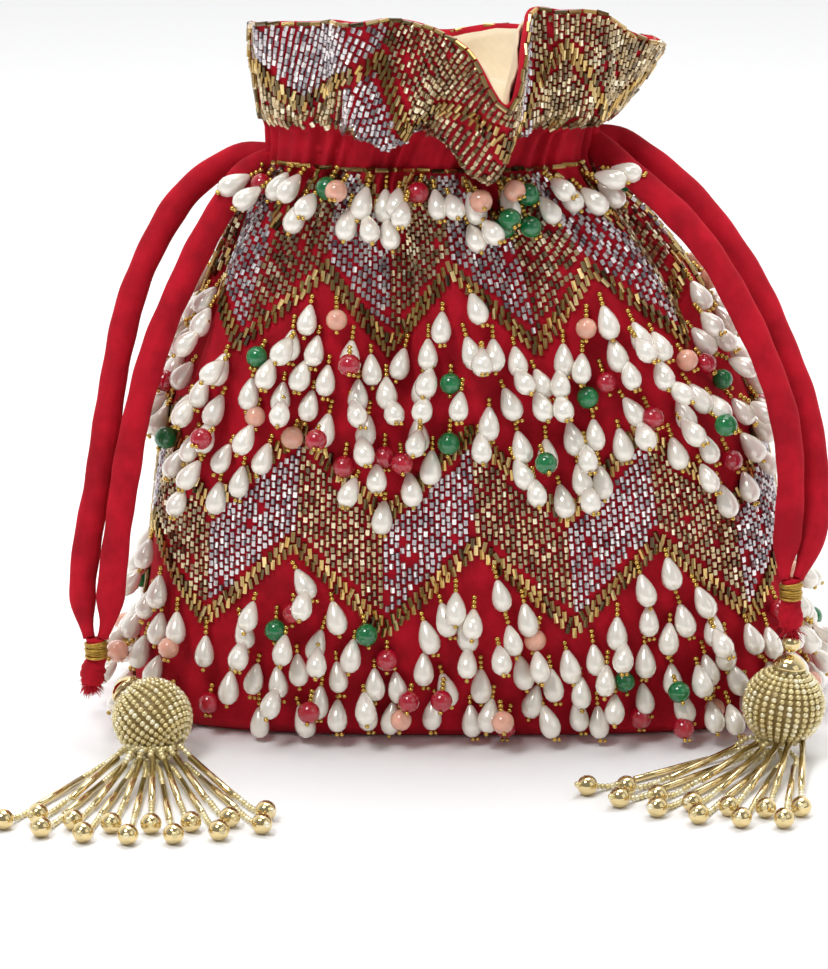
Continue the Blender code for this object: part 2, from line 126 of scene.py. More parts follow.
PANEL_THICKNESS = 1.5
LINING_GAP = 1.1
LINING_THICKNESS = 0.8
CASING_DEPTH = 4.6
CASING_EASE = 11.5
LINING_FOOT = 3.4
LINING_FLOOR = 1.0
LINING_FOOT_SHARE = (0.985, 0.96, 0.0)
LINING_FLOOR_SHARE = (0.98, 0.95, 0.0)
SEAM_DRAWN = 0.001
CORD_OPENING = 0.03

BASE_HALF = (94.6, 31.6)
BASE_THICKNESS = 2.4
BASE_SQUARE = 2.9

CORD_RADIUS_GATHERED = 1.75
CORD_INSET = 3.85
EXIT_ANGLE = 8.0
LEFT_CORD_HEIGHT = 167.5
RIGHT_CORD_HEIGHT = 173.5

# Each cord's two free runs, from the binding up to the side of the casing.
LEFT_BACK_RUN = (
    (-111.5, -45.0, 34.4), (-112.6, -43.0, 38.6), (-113.6, -39.5, 46.0), (-112.4, -35.5, 59.0),
    (-109.6, -30.5, 75.0), (-106.8, -25.5, 92.0), (-103.6, -19.5, 111.5), (-98.7, -12.5, 130.8),
    (-91.8, -6.0, 145.6), (-84.0, -1.0, 156.8), (-74.4, 2.4, 164.2), (-66.5, 4.0, 167.2),
)
LEFT_FRONT_RUN = (
    (-107.5, -45.4, 34.4), (-106.2, -44.8, 38.6), (-105.2, -43.2, 46.0), (-103.8, -39.6, 59.0),
    (-101.4, -35.0, 76.0), (-98.6, -31.0, 92.0), (-94.6, -26.6, 108.0), (-90.0, -21.6, 121.5),
    (-84.4, -17.0, 133.7), (-78.6, -13.4, 145.0), (-72.6, -9.8, 155.0), (-66.4, -6.2, 163.4),
)
RIGHT_FRONT_RUN = (
    (90.2, -50.6, 53.9), (90.2, -49.4, 58.2), (91.2, -46.6, 67.4), (91.8, -42.6, 85.6),
    (89.6, -38.6, 101.0), (84.6, -34.0, 115.3), (77.2, -29.4, 130.4), (68.8, -24.4, 144.2),
    (58.8, -19.4, 155.2), (48.6, -14.4, 163.6), (41.2, -9.0, 169.0),
)
RIGHT_BACK_RUN = (
    (94.2, -49.7, 53.9), (96.0, -47.6, 57.6), (98.9, -42.4, 66.0), (99.8, -36.4, 81.4),
    (97.6, -30.4, 96.6), (92.2, -25.0, 112.7), (84.6, -18.8, 129.4), (75.2, -12.8, 145.0),
    (64.0, -7.0, 157.8), (52.6, -1.6, 167.2), (43.4, 3.0, 172.0),
)

# The bindings, the cords' frayed ends and what hangs from them.
BINDING_RADIUS = 3.4
BINDING_HEIGHT = 4.6
LEFT_BINDING = (-109.5, -45.2, 30.9)
RIGHT_BINDING = (92.2, -50.2, 50.4)
LEFT_FRAY = ((-109.5, -45.2, 27.4), (-110.4, -45.8, 24.6), (-111.4, -46.2, 19.4))
RIGHT_FRAY = ((92.2, -50.2, 47.3), (92.2, -50.8, 42.6), (92.4, -51.4, 38.1))
RIGHT_BEAD = (92.6, -51.6, 34.8)
RIGHT_BEAD_RADIUS = 2.7
CAP_RADIUS = 5.0
TOUCH_GAP = 0.35

LEFT_PIVOT = (-103.4, -46.0)
LEFT_BALL = (-93.0, -52.6, 12.35)
LEFT_BALL_RADIUS = 12.0
LEFT_BALL_AXIS = (-11.0, 7.5, 9.5)
RIGHT_BALL = (90.8, -51.6, 16.0)
RIGHT_BALL_RADIUS = 12.3
RIGHT_BALL_AXIS = (1.4, 0.0, 12.0)

# A tassel's fan of strands: count, then the first and the last one's angle from straight ahead, in
# degrees, and reach. Every other strand is shorter, so that the end balls clear each other.
LEFT_FAN = (14, (-33.0, 34.0), (70.0, 71.0))
RIGHT_FAN = (12, (-61.0, 1.0), (67.0, 58.0))
FAN_STAGGER = 8.5
STRAND_END_RADIUS = 3.0
STRAND_RADIUS = 1.05
STRAND_TIERS = (2.4, 6.6)
STRAND_NEAREST = 8.6
STRAND_SPREAD = 8.4
STRAND_LOW = 1.15
STRAND_KNOTS = (0.0, 0.16, 0.38, 0.64, 0.88)
FLOOR_CLEARANCE = 0.05

# The cloth as it was cut: across one side from seam to seam, and up it from the base to the rim.
CLOTH_WIDTH = 248.0
CLOTH_HEIGHT = 224.0
SIDES = {"front": 0, "back": 1}

# The plain gathered casing on the cloth, and the zigzag that every band follows across it.
CASING = (169.0, 181.0)
ZIGZAG_PERIOD = 58.0
ZIGZAG_VALLEY = 40.0

# Each band's lower and upper border, as its height at the valleys and at the peaks.
MIDDLE_BAND = ((36.0, 62.0), (70.0, 95.0))
UPPER_BAND = ((118.0, 141.0), (152.0, 186.0))
RUFFLE_BORDER = (191.0, 212.0)

# Heights on the cloth where each zone's columns of beads are counted out.
MIDDLE_ZONE = 66.0
UPPER_ZONE = 143.0
RUFFLE_ZONE = 204.0

# Share of the beads that have come off.
LOST_BEADS = 0.025

# How far the beads keep from a band's border line, and its two rows of bugles stand off it.
BAND_MARGIN = 4.2
RUFFLE_MARGIN = 4.0
BORDER_LIFT = 1.5

# Where the ruffle droops over the casing: place across, half width, how far it comes out and down,
# and the share of that kept at the rim.
LOBES = {
    "front": ((88.0, 14.0, 5.0, 10.0, 0.05), (134.0, 17.0, 6.0, 13.0, 0.1), (164.0, 9.0, 4.0, 7.0, 0.1),
              (207.0, 20.0, 3.0, 4.0, 0.05)),
    "back": ((40.0, 17.0, 4.0, 8.0, 0.1), (112.0, 16.0, 6.0, 12.0, 0.1), (180.0, 18.0, 4.0, 9.0, 0.1)),
}
# How far the ruffle's gathers bunch toward its right, as a share of its width.
RUFFLE_BUNCHED = 0.05


def smooth_through(keys, values, at):
    """Values read from one smooth curve through the (key, value) points."""
    keys, values, at = (np.asarray(a, float) for a in (keys, values, at))
    slopes = np.gradient(values, keys, axis=0)
    i = np.clip(np.searchsorted(keys, at, side="right") - 1, 0, len(keys) - 2)
    span = keys[i + 1] - keys[i]
    u = (at - keys[i]) / span
    if values.ndim > 1:
        span, u = span[:, None], u[:, None]
    blend = u * u * (3 - 2 * u)
    ends = values[i] + (values[i + 1] - values[i]) * blend
    return ends + span * u * (1 - u) * ((1 - u) * slopes[i] - u * slopes[i + 1])


def step(low, high, x):
    u = np.clip((x - low) / (high - low), 0, 1)
    return u * u * (3 - 2 * u)


def outline(section, angles):
    """A squared oval in plan and its outward normals, at angles from the left seam."""
    half_w, half_d, middle, square = section
    c, s = np.cos(angles), np.sin(angles)
    r = (np.abs(c) ** square + np.abs(s) ** square) ** (-1 / square)
    x, y = middle - half_w * r * c, -half_d * r * s
    power = square - 1
    nx = -np.sign(c) * np.abs(r * c) ** power / half_w
    ny = -np.sign(s) * np.abs(r * s) ** power / half_d
    size = np.hypot(nx, ny)
    return np.stack([x, y], -1), np.stack([nx / size, ny / size], -1)


def valley_depth(angles):
    """How far the gathers sink into the bag at each angle, at their fullest."""
    degrees = np.degrees(angles)
    sunk = np.zeros_like(degrees)
    for middle, depth, width in VALLEYS:
        away = (degrees - middle + 180) % 360 - 180
        sunk += depth * np.exp(-((away / width) ** 2))
    return sunk


def ruffle_settings(angles):
    """Length, lean at the foot, lean at the rim and turning length of the ruffle at each angle."""
    rows = np.array(RUFFLE)
    last, first = rows[-2:].copy(), rows[:2].copy()
    last[:, 0] -= 360
    first[:, 0] += 360
    rows = np.concatenate([last, rows, first])
    return smooth_through(rows[:, 0], rows[:, 1:], np.degrees(angles)).T


def body_row(height, angles):
    """Points and outward normals of the velvet's outer face at one height up to the casing."""
    rows = np.array(SECTIONS)
    section = smooth_through(rows[:, 0], rows[:, 1:], np.array([height]))[0]
    plan, normal = outline(section, angles)
    depth = step(FOLDS_START, FOLDS_FULL, height)
    depth *= 1 - (1 - CASING_FOLD) * step(FOLDS_FULL, CASING_BOTTOM, height)
    plan = plan - normal * (valley_depth(angles) * depth)[:, None]
    return np.column_stack([plan, np.full(len(plan), float(height))]), normal


def ruffle_row(along, angles):
    """Points of the ruffle this far up its cloth, which leans out and then turns up."""
    start, normal = body_row(CASING_TOP, angles)
    length, foot, rim, turning = ruffle_settings(angles)
    reach = np.linspace(0, 1, 41)[:, None] * np.minimum(along, length)
    lean = np.radians(rim + (foot - rim) * np.exp(-reach / turning))
    out = np.trapz(np.sin(lean), reach, axis=0)
    up = np.trapz(np.cos(lean), reach, axis=0)
    sunk = valley_depth(angles) * (RUFFLE_FOLD - CASING_FOLD) * step(0, RUFFLE_FOLD_REACH, reach[-1])
    plan = start[:, :2] + normal * (out - sunk)[:, None]
    return np.column_stack([plan, start[:, 2] + up])


def cloth_row(height, angles):
    if height <= CASING_TOP:
        return body_row(height, angles)[0]
    length = ruffle_settings(angles)[0]
    share = (height - CASING_TOP) / RUFFLE_LONGEST
    return ruffle_row(share * length, angles)


def run_along(line):
    """How far along a line each of its points is."""
    return np.concatenate([[0], np.cumsum(np.linalg.norm(np.diff(line, axis=0), axis=1))])


def read_along(places, run, line):
    """Points of a line at these places along it."""
    return np.column_stack([np.interp(places, run, line[:, k]) for k in range(3)])


def evenly(line, count, first, last):
    """count points along a line, from the first share of its length to the last."""
    run = run_along(line)
    return read_along(np.linspace(first, last, count) * run[-1], run, line)


def inward(grid):
    """Unit directions into the bag over a grid whose columns run round it from the left."""
    up = np.gradient(grid, axis=0)
    along = np.gradient(grid, axis=1)
    normal = np.cross(up, along)
    return normal / np.linalg.norm(normal, axis=2, keepdims=True)


def shell_faces(rows, columns):
    """Faces of a sheet with an outer and an inner grid, closed round its edge."""
    size = rows * columns
    faces = []
    for r in range(rows - 1):
        for c in range(columns - 1):
            a, b = r * columns + c, (r + 1) * columns + c
            faces.append((a, a + 1, b + 1, b))
            faces.append((a + size, b + size, b + 1 + size, a + 1 + size))
    rim = [c for c in range(columns)]
    rim += [r * columns + columns - 1 for r in range(1, rows)]
    rim += [(rows - 1) * columns + c for c in range(columns - 2, -1, -1)]
    rim += [r * columns for r in range(rows - 2, 0, -1)]
    for a, b in zip(rim, rim[1:] + rim[:1]):
        faces.append((b, a, a + size, b + size))
    return faces


def cord_ring(height, start_angle, end_angle):
    """The cord's way round the neck inside the casing."""
    angles = np.radians(np.linspace(start_angle, end_angle, 37))
    points, normal = body_row(height, angles)
    points[:, :2] -= normal * CORD_INSET
    return [tuple(p) for p in points]


def cord_path(route):
    """Points read from a smooth curve through the route, closer together where it is gathered."""
    route = np.array(route)
    run = run_along(route)
    fine = smooth_through(run, route, np.linspace(0, run[-1], 1200))
    return fine, run_along(fine)


def fan_ends(centre, fan):
    """Where each strand's end ball touches down, from left to right."""
    count, angles, reaches = fan
    ends = []
    for index, share in enumerate(np.linspace(0, 1, count)):
        angle = math.radians(angles[0] + (angles[1] - angles[0]) * share)
        reach = reaches[0] + (reaches[1] - reaches[0]) * share - FAN_STAGGER * (index % 2)
        ends.append((centre[0] + reach * math.sin(angle), centre[1] - reach * math.cos(angle)))
    return ends


def hex_colour(code):
    """An sRGB hex value as the linear colour that a shader takes."""
    parts = [int(code[k : k + 2], 16) / 255 for k in (1, 3, 5)]
    return (*[c / 12.92 if c <= 0.04045 else ((c + 0.055) / 1.055) ** 2.4 for c in parts], 1.0)


def colour(code, name, description):
    return FloatVectorProperty(
        name=name, description=description, default=hex_colour(code), size=4,
        subtype="COLOR", min=0, max=1,
    )


def length(value, name, description):
    """A size in millimetres, kept in metres as Blender keeps lengths."""
    return FloatProperty(
        name=name, description=description, default=value * MM, subtype="DISTANCE", unit="LENGTH"
    )


class PotliSizes(bpy.types.PropertyGroup):
    bead_width: length(1.35, "Glass bead width", "Thickness of one bead in the filled bands")
    bead_length: length(2.1, "Glass bead length", "Length of one bead in the filled bands")
    column: length(1.66, "Bead column", "Distance between two columns of beads")
    row: length(2.42, "Bead row", "Distance between two beads of one column")
    bugle_width: length(1.4, "Bugle width", "Thickness of one border bugle")
    bugle_length: length(3.3, "Bugle length", "Length of one border bugle")
    rim_bugle: length(4.0, "Rim bugle", "Length of one bugle along the rim and the seams")
    pearl_width: length(6.2, "Pearl width", "Thickness of a hanging pearl at its widest")
    pearl_length: length(10.2, "Pearl length", "Length of a hanging pearl")
    stone: length(6.6, "Stone bead", "Diameter of a round stone bead")
    seed: length(1.75, "Gold seed", "Diameter of a gold seed bead")
    drop_spacing: length(7.9, "Drop spacing", "Distance between two hanging drops of one row")
    drop_rows: length(8.8, "Drop rows", "Distance between two rows of hanging drops")
    gather: length(2.4, "Gather depth", "How deep the fine gathers sink at the casing")
    gathers: IntProperty(name="Gathers", description="Fine gathers on each side", default=24, min=4)
    cord_width: length(8.2, "Cord width", "Width of the flattened velvet cord")
    cord_depth: length(6.0, "Cord depth", "Thickness of the flattened velvet cord")
    pile: length(0.45, "Velvet pile", "Size of the finest mottling of the velvet's pile")


class PotliColours(bpy.types.PropertyGroup):
    velvet: colour("#BB1026", "Velvet", "Crimson of the velvet's pile")
    velvet_shade: colour("#9C0A1C", "Velvet shade", "Crimson where the pile is brushed the other way")
    lining: colour("#DFCBA8", "Lining", "Beige of the lining cloth")
    pearl: colour("#F7F1E6", "Pearl", "Cream of the hanging pearls")
    green: colour("#0B7A42", "Green stone", "Green of the round stone beads")
    ruby: colour("#B8142F", "Red stone", "Red of the round stone beads")
    peach: colour("#F2B59C", "Peach stone", "Peach of the round stone beads")
    gold: colour("#D9B45C", "Gold", "Yellow gold of the plated beads")
    tassel: colour("#E9D79A", "Tassel gold", "Pale gold of the tassels' seed beads")
    pale_gold: colour("#E6D09A", "Pale gold", "Pale gold of the tassels' plated beads")
    thread: colour("#CBA24A", "Gold thread", "Gold of the metallic thread")
    floor: colour("#F7F7F8", "Floor", "Pale floor that the bag stands on")


# Materials

# Silver fill beads: their own silver and lilac tones, with near-white beads as painted highlights and dark
# grey beads as painted shade.
SILVER_TONES_AND_PAINTED_LIGHT = ("#FFF9F6", "#A39A9E", "#E4DDDC", "#6F646B", "#D2CACC", "#8B8087", "#F1EAE8")
# Gold fill beads: their own brownish gold tones, with the palest beads as painted highlights and the
# darkest as painted shade.
CHAMPAGNE_TONES_AND_PAINTED_LIGHT = ("#F6EACB", "#937A50", "#D3BC90", "#5A4630", "#BCA47C", "#705A3C", "#E8D6AE")
BUGLE_SHADES = ("#F0D392", "#4A3618", "#CDA45A", "#35260F", "#D9B670", "#6B4E22", "#E2C27C")


def node(tree, kind, inputs=None, **settings):
    """Adds a node with its settings. An input is a value, or a socket to link from."""
    made = tree.nodes.new(kind)
    for name, value in settings.items():
        setattr(made, name, value)
    for name, value in (inputs or {}).items():
        if isinstance(value, bpy.types.NodeSocket):
            tree.links.new(value, made.inputs[name])
        else:
            made.inputs[name].default_value = value
    return made


def finish(name, **sockets):
    """A new material, its node tree and its shader with these sockets set."""
    made = bpy.data.materials.new(name)
    made.use_nodes = True
    shader = made.node_tree.nodes["Principled BSDF"]
    for socket, value in sockets.items():
        shader.inputs[socket.replace("_", " ")].default_value = value
    return made, made.node_tree, shader


def ramp(tree, factor, stops):
    """A colour ramp over a factor, from (place, colour) stops."""
    made = node(tree, "ShaderNodeValToRGB", {"Fac": factor})
    bands = made.color_ramp.elements
    while len(bands) < len(stops):
        bands.new(0.5)
    for band, (place, shade) in zip(bands, stops):
        band.position, band.color = place, shade
    return made.outputs["Color"]


def grain(tree, size, detail=2.0, stretch=(1.0, 1.0, 1.0)):
    """Noise whose spots are about this many millimetres across."""
    place = node(tree, "ShaderNodeTexCoord").outputs["Object"]
    spread = node(tree, "ShaderNodeMapping", {"Vector": place, "Scale": stretch})
    scale = 1 / (size * MM)
    cloud = node(tree, "ShaderNodeTexNoise",
                 {"Vector": spread.outputs["Vector"], "Scale": scale, "Detail": detail})
    return cloud.outputs["Fac"]


def bump(tree, shader, height, depth, strength=1.0):
    """Relief on a shader, from a height map that runs from 0 to this depth in millimetres."""
    relief = node(tree, "ShaderNodeBump",
                  {"Height": height, "Distance": depth * MM, "Strength": strength})
    tree.links.new(relief.outputs["Normal"], shader.inputs["Normal"])


def shaded(colour_value, factor):
    return (*[c * factor for c in colour_value[:3]], 1.0)


def tint(tree, shader, factor, stops):
    """Colours a shader by a ramp over a factor."""
    tree.links.new(ramp(tree, factor, stops), shader.inputs["Base Color"])


def clouded(tree, shader, size, tone, darkest, detail=2.0, places=(0.3, 0.7)):
    """Colours a shader in soft clouds between a tone and a darker shade of it."""
    tint(tree, shader, grain(tree, size, detail),
         [(places[0], shaded(tone, darkest)), (places[1], tone[:])])


def each_bead(tree):
    """A chance value for each bead of a mesh, from 0 to 1."""
    return node(tree, "ShaderNodeNewGeometry").outputs["Random Per Island"]


def cotton_velvet(colours, sizes):
    """Cotton velvet, woven with a cut pile: the pile glows at its edges and mottles where brushed."""
    made, tree, shader = finish("cotton velvet, cut pile", Roughness=0.85, Sheen_Weight=0.55,
                                Sheen_Roughness=0.35, Specular_IOR_Level=0.2)
    shader.inputs["Sheen Tint"].default_value = hex_colour("#E8404E")
    tint(tree, shader, grain(tree, 9.0, 5.0),
         [(0.35, colours.velvet_shade[:]), (0.62, colours.velvet[:])])
    bump(tree, shader, grain(tree, sizes.pile / MM, 3.0), 0.16, 0.7)
    return made


LINING_THREAD = 0.45


def woven_lining(colours):
    """Plain-woven polyester lining: even threads give a fine square grain."""
    made, tree, shader = finish("polyester lining, plain woven", Roughness=0.6, Sheen_Weight=0.25)
    place = node(tree, "ShaderNodeTexCoord").outputs["Object"]
    waves = [
        node(tree, "ShaderNodeTexWave",
             {"Vector": place, "Scale": 0.05 / (LINING_THREAD * MM), "Distortion": 0.6},
             bands_direction=way).outputs["Fac"]
        for way in ("X", "Z")
    ]
    weave = node(tree, "ShaderNodeMath", {0: waves[0], 1: waves[1]}, operation="MULTIPLY")
    clouded(tree, shader, 14.0, colours.lining, 0.84, 4.0)
    bump(tree, shader, weave.outputs["Value"], 0.12, 0.4)
    return made


def glass_beads(name, codes, **sockets):
    """Cut glass beads: each bead takes one of the shades, as the lined and bare ones mix; for the silver
    and gold fill beads the shades also hold painted highlights and painted shade.
    """
    made, tree, shader = finish(name, **sockets)
    stops = [(k / (len(codes) - 1), hex_colour(code)) for k, code in enumerate(codes)]
    tint(tree, shader, each_bead(tree), stops)
    rough = node(tree, "ShaderNodeMapRange",
                 {"Value": grain(tree, 0.8), "To Min": sockets["Roughness"] * 0.7,
                  "To Max": sockets["Roughness"] * 1.4})
    tree.links.new(rough.outputs["Result"], shader.inputs["Roughness"])
    return made


def silver_beads():
    """Silver-lined crystal glass, cut: bright bars with a lilac cast where the lining is worn, among them
    near-white beads as painted highlights and dark grey beads as painted shade.
    """
    return glass_beads("silver-lined glass beads, cut, painted glints and shade", SILVER_TONES_AND_PAINTED_LIGHT,
                       Roughness=0.16, Metallic=0.75, Coat_Weight=0.6, Coat_Roughness=0.08)


def champagne_beads():
    """Gold-lined glass, cut: brownish gold bars, among them the palest beads as painted highlights and the
    darkest as painted shade.
    """
    return glass_beads("gold-lined glass beads, cut, painted glints and shade", CHAMPAGNE_TONES_AND_PAINTED_LIGHT,
                       Roughness=0.16, Metallic=0.8, Coat_Weight=0.6, Coat_Roughness=0.08)


def metal_bugles():
    """Metal-lined bugles, drawn and cut six-sided: each facet is bright gold or dark bronze."""
    return glass_beads("gold and bronze bugles, drawn and cut", BUGLE_SHADES,
                       Roughness=0.16, Metallic=0.9, Coat_Weight=0.5)


def plated_beads(colours):
    """Gold-plated seeds, tumbled: small warm mirrors."""
    gold = colours.gold[:]
    made, tree, shader = finish("gold-plated seed beads, tumbled", Roughness=0.22, Metallic=0.95)
    tint(tree, shader, each_bead(tree), [(0.0, shaded(gold, 0.75)), (1.0, gold)])
    return made


def polished_gold(colours):
    """Pale gold plating, polished: clean mirror-like highlights."""
    made, tree, shader = finish("pale gold plating, polished", Roughness=0.1, Metallic=1.0)
    clouded(tree, shader, 3.0, colours.pale_gold, 0.9)
    return made


def tassel_seeds(colours):
    """Gold-lined clear glass seeds: pale, and glassy over the gold."""
    made, tree, shader = finish("gold-lined clear glass seeds", Roughness=0.18, Metallic=0.5,
                                Coat_Weight=1.0, Coat_Roughness=0.05)
    tint(tree, shader, each_bead(tree),
         [(0.0, shaded(colours.tassel, 0.72)), (0.6, colours.tassel[:]), (1.0, hex_colour("#F6EFD0"))])
    return made


def moulded_pearl(colours):
    """Moulded resin pearl with a nacre coating: cream, with a faint metal lustre under a clear gloss."""
    made, tree, shader = finish("resin pearls, nacre coated", Roughness=0.22, Metallic=0.2,
                                Coat_Weight=1.0, Coat_Roughness=0.06)
    tint(tree, shader, each_bead(tree), [(0.0, shaded(colours.pearl, 0.93)), (1.0, colours.pearl[:])])
    bump(tree, shader, grain(tree, 2.5), 0.12, 0.25)
    return made


def polished_stone(name, tone, milky):
    """Dyed quartz, tumbled and polished: cloudy inside with one sharp highlight."""
    made, tree, shader = finish(name, Roughness=0.14, Coat_Weight=0.8, Coat_Roughness=0.04,
                                Subsurface_Weight=milky, Subsurface_Scale=0.003)
    clouded(tree, shader, 3.5, tone, 0.72, 4.0)
    return made


def tassel_core():
    """Turned wooden ball dyed old gold: a dark warm ground between the rows of seeds."""
    made, tree, shader = finish("turned wood, dyed old gold", Roughness=0.5)
    tint(tree, shader, grain(tree, 2.0, 3.0, (1, 1, 4)),
         [(0.3, hex_colour("#6E5A2C")), (0.7, hex_colour("#94793E"))])
    return made


def wound_thread(colours):
    """Metallic thread, wound: fine flecks catch the light in turn."""
    made, tree, shader = finish("metallic thread, wound", Roughness=0.35, Metallic=0.8)
    clouded(tree, shader, 0.6, colours.thread, 0.6)
    return made


def painted_floor(colours):
    """Matt painted board: a smooth pale sweep with no grain to see."""
    made, tree, shader = finish("painted board, matt", Roughness=0.7, Specular_IOR_Level=0.2)
    clouded(tree, shader, 90.0, colours.floor, 0.99, places=(0.0, 1.0))
    return made


LOOKS = {}


def look(kind):
    """The material of this kind, made once from the scene's colours."""
    scene = bpy.context.scene
    colours, sizes = scene.potli_colours, scene.potli_sizes
    makers = {
        "velvet": lambda: cotton_velvet(colours, sizes),
        "lining": lambda: woven_lining(colours),
        "silver": silver_beads,
        "champagne": champagne_beads,
        "bugle": metal_bugles,
        "plated": lambda: plated_beads(colours),
        "polished": lambda: polished_gold(colours),
        "tassel": lambda: tassel_seeds(colours),
        "core": tassel_core,
        "pearl": lambda: moulded_pearl(colours),
        "green": lambda: polished_stone("green quartz, polished", colours.green, 0.1),
        "ruby": lambda: polished_stone("red quartz, polished", colours.ruby, 0.2),
        "peach": lambda: polished_stone("peach quartz, polished", colours.peach, 0.3),
        "thread": lambda: wound_thread(colours),
        "floor": lambda: painted_floor(colours),
    }
    if kind not in LOOKS:
        LOOKS[kind] = makers[kind]()
    return LOOKS[kind]


# Meshes


def place_piece(name, points, faces, kind, smooth=True):
    """A mesh object from points in millimetres and a list of face arrays, one for each face size."""
    corners = np.concatenate([f.reshape(-1) for f in faces])
    counts = np.concatenate([np.full(len(f), f.shape[1]) for f in faces])
    mesh = bpy.data.meshes.new(name)
    mesh.vertices.add(len(points))
    mesh.vertices.foreach_set("co", (np.asarray(points, np.float64) * MM).reshape(-1))
    mesh.loops.add(len(corners))
    mesh.loops.foreach_set("vertex_index", corners.astype(np.int32))
    mesh.polygons.add(len(counts))
    mesh.polygons.foreach_set("loop_start", np.concatenate([[0], np.cumsum(counts)[:-1]]).astype(np.int32))
    mesh.polygons.foreach_set("use_smooth", np.full(len(counts), smooth))
    mesh.update(calc_edges=True)
    mesh.materials.append(look(kind))
    piece = bpy.data.objects.new(name, mesh)
    bpy.context.scene.collection.objects.link(piece)
    return piece


def ring_faces(rings, count):
    """Faces of a stack of closed rings, with a flat face at each end."""
    a = np.arange(count)
    b = (a + 1) % count
    walls = [np.column_stack([r * count + a, r * count + b, (r + 1) * count + b, (r + 1) * count + a])
             for r in range(rings - 1)]
    return [np.concatenate(walls), np.array([a[::-1], a + (rings - 1) * count])]


def turned_bead(profile, sides):
    """A bead turned about Z from (height, radius) points, the first and last on the axis."""
    spin = np.linspace(0, 2 * math.pi, sides, endpoint=False)
    circle = np.column_stack([np.cos(spin), np.sin(spin)])
    points = [[0, 0, profile[0][0]]]
    for height, radius in profile[1:-1]:
        points += [[x * radius, y * radius, height] for x, y in circle]
    points.append([0, 0, profile[-1][0]])
    rings = len(profile) - 2
    quads, tips = [], []
    for k in range(sides):
        n = (k + 1) % sides
        tips.append((0, 1 + n, 1 + k))
        top = 1 + (rings - 1) * sides
        tips.append((len(points) - 1, top + k, top + n))
        for r in range(rings - 1):
            a = 1 + r * sides
            quads.append((a + k, a + n, a + sides + n, a + sides + k))
    faces = [np.array(tips)] + ([np.array(quads)] if quads else [])
    return np.array(points, float), faces


def round_bead(radius, sides, rings, long=1.0):
    """A round bead, or one that is long times as tall as it is wide."""
    tilt = np.linspace(0, math.pi, rings)
    return turned_bead([(-math.cos(t) * radius * long, math.sin(t) * radius) for t in tilt], sides)


def cut_bead(half, radius, sides, bevel):
    """A straight bead with cut ends."""
    return turned_bead([(-half, 0), (-half + bevel, radius), (half - bevel, radius), (half, 0)], sides)


class Strung:
    """Copies of one bead gathered into a single mesh."""

    def __init__(self, bead):
        self.points, self.faces = bead
        self.frames = []

    def add(self, centres, axes, across, scale=1.0):
        """Beads at these centres, their Z along axes and their X near across."""
        centres, axes, across = (np.atleast_2d(np.asarray(v, float)) for v in (centres, axes, across))
        axes = axes / np.linalg.norm(axes, axis=1, keepdims=True)
        side = np.cross(axes, across)
        side /= np.linalg.norm(side, axis=1, keepdims=True)
        across = np.cross(side, axes)
        self.frames.append((centres, across * scale, side * scale, axes * scale))

    def piece(self, name, kind, smooth=True):
        centres, x, y, z = (np.concatenate(part) for part in zip(*self.frames))
        b = self.points
        placed = centres[:, None] + b[None, :, :1] * x[:, None] + b[None, :, 1:2] * y[:, None]
        placed += b[None, :, 2:] * z[:, None]
        offsets = (np.arange(len(centres)) * len(b))[:, None, None]
        faces = [(f[None] + offsets).reshape(-1, f.shape[1]) for f in self.faces]
        return place_piece(name, placed.reshape(-1, 3), faces, kind, smooth)


def swept(path, toward, half_w, half_d, sides=16, ridge=0.0):
    """A closed tube along a path, half_w wide and half_d deep towards a direction at each point."""
    path = np.asarray(path, float)
    count = len(path)
    tangent = np.gradient(path, axis=0)
    tangent /= np.linalg.norm(tangent, axis=1, keepdims=True)
    toward = np.broadcast_to(np.asarray(toward, float), path.shape)
    deep = toward - tangent * (toward * tangent).sum(1, keepdims=True)
    deep /= np.linalg.norm(deep, axis=1, keepdims=True)
    wide = np.cross(tangent, deep)
    half_w, half_d = (np.broadcast_to(np.asarray(v, float), (count,)) for v in (half_w, half_d))
    points = []
    for k in range(sides):
        turn = 2 * math.pi * k / sides
        lift = 1 + ridge * math.exp(-(((turn + 0.2) % (2 * math.pi)) - 0.2) ** 2 / 0.02)
        points.append(path + deep * (half_d * math.cos(turn) * lift)[:, None]
                      + wide * (half_w * math.sin(turn))[:, None])
    points = np.stack(points, axis=1).reshape(-1, 3)
    return points, ring_faces(count, sides)


# Cloth


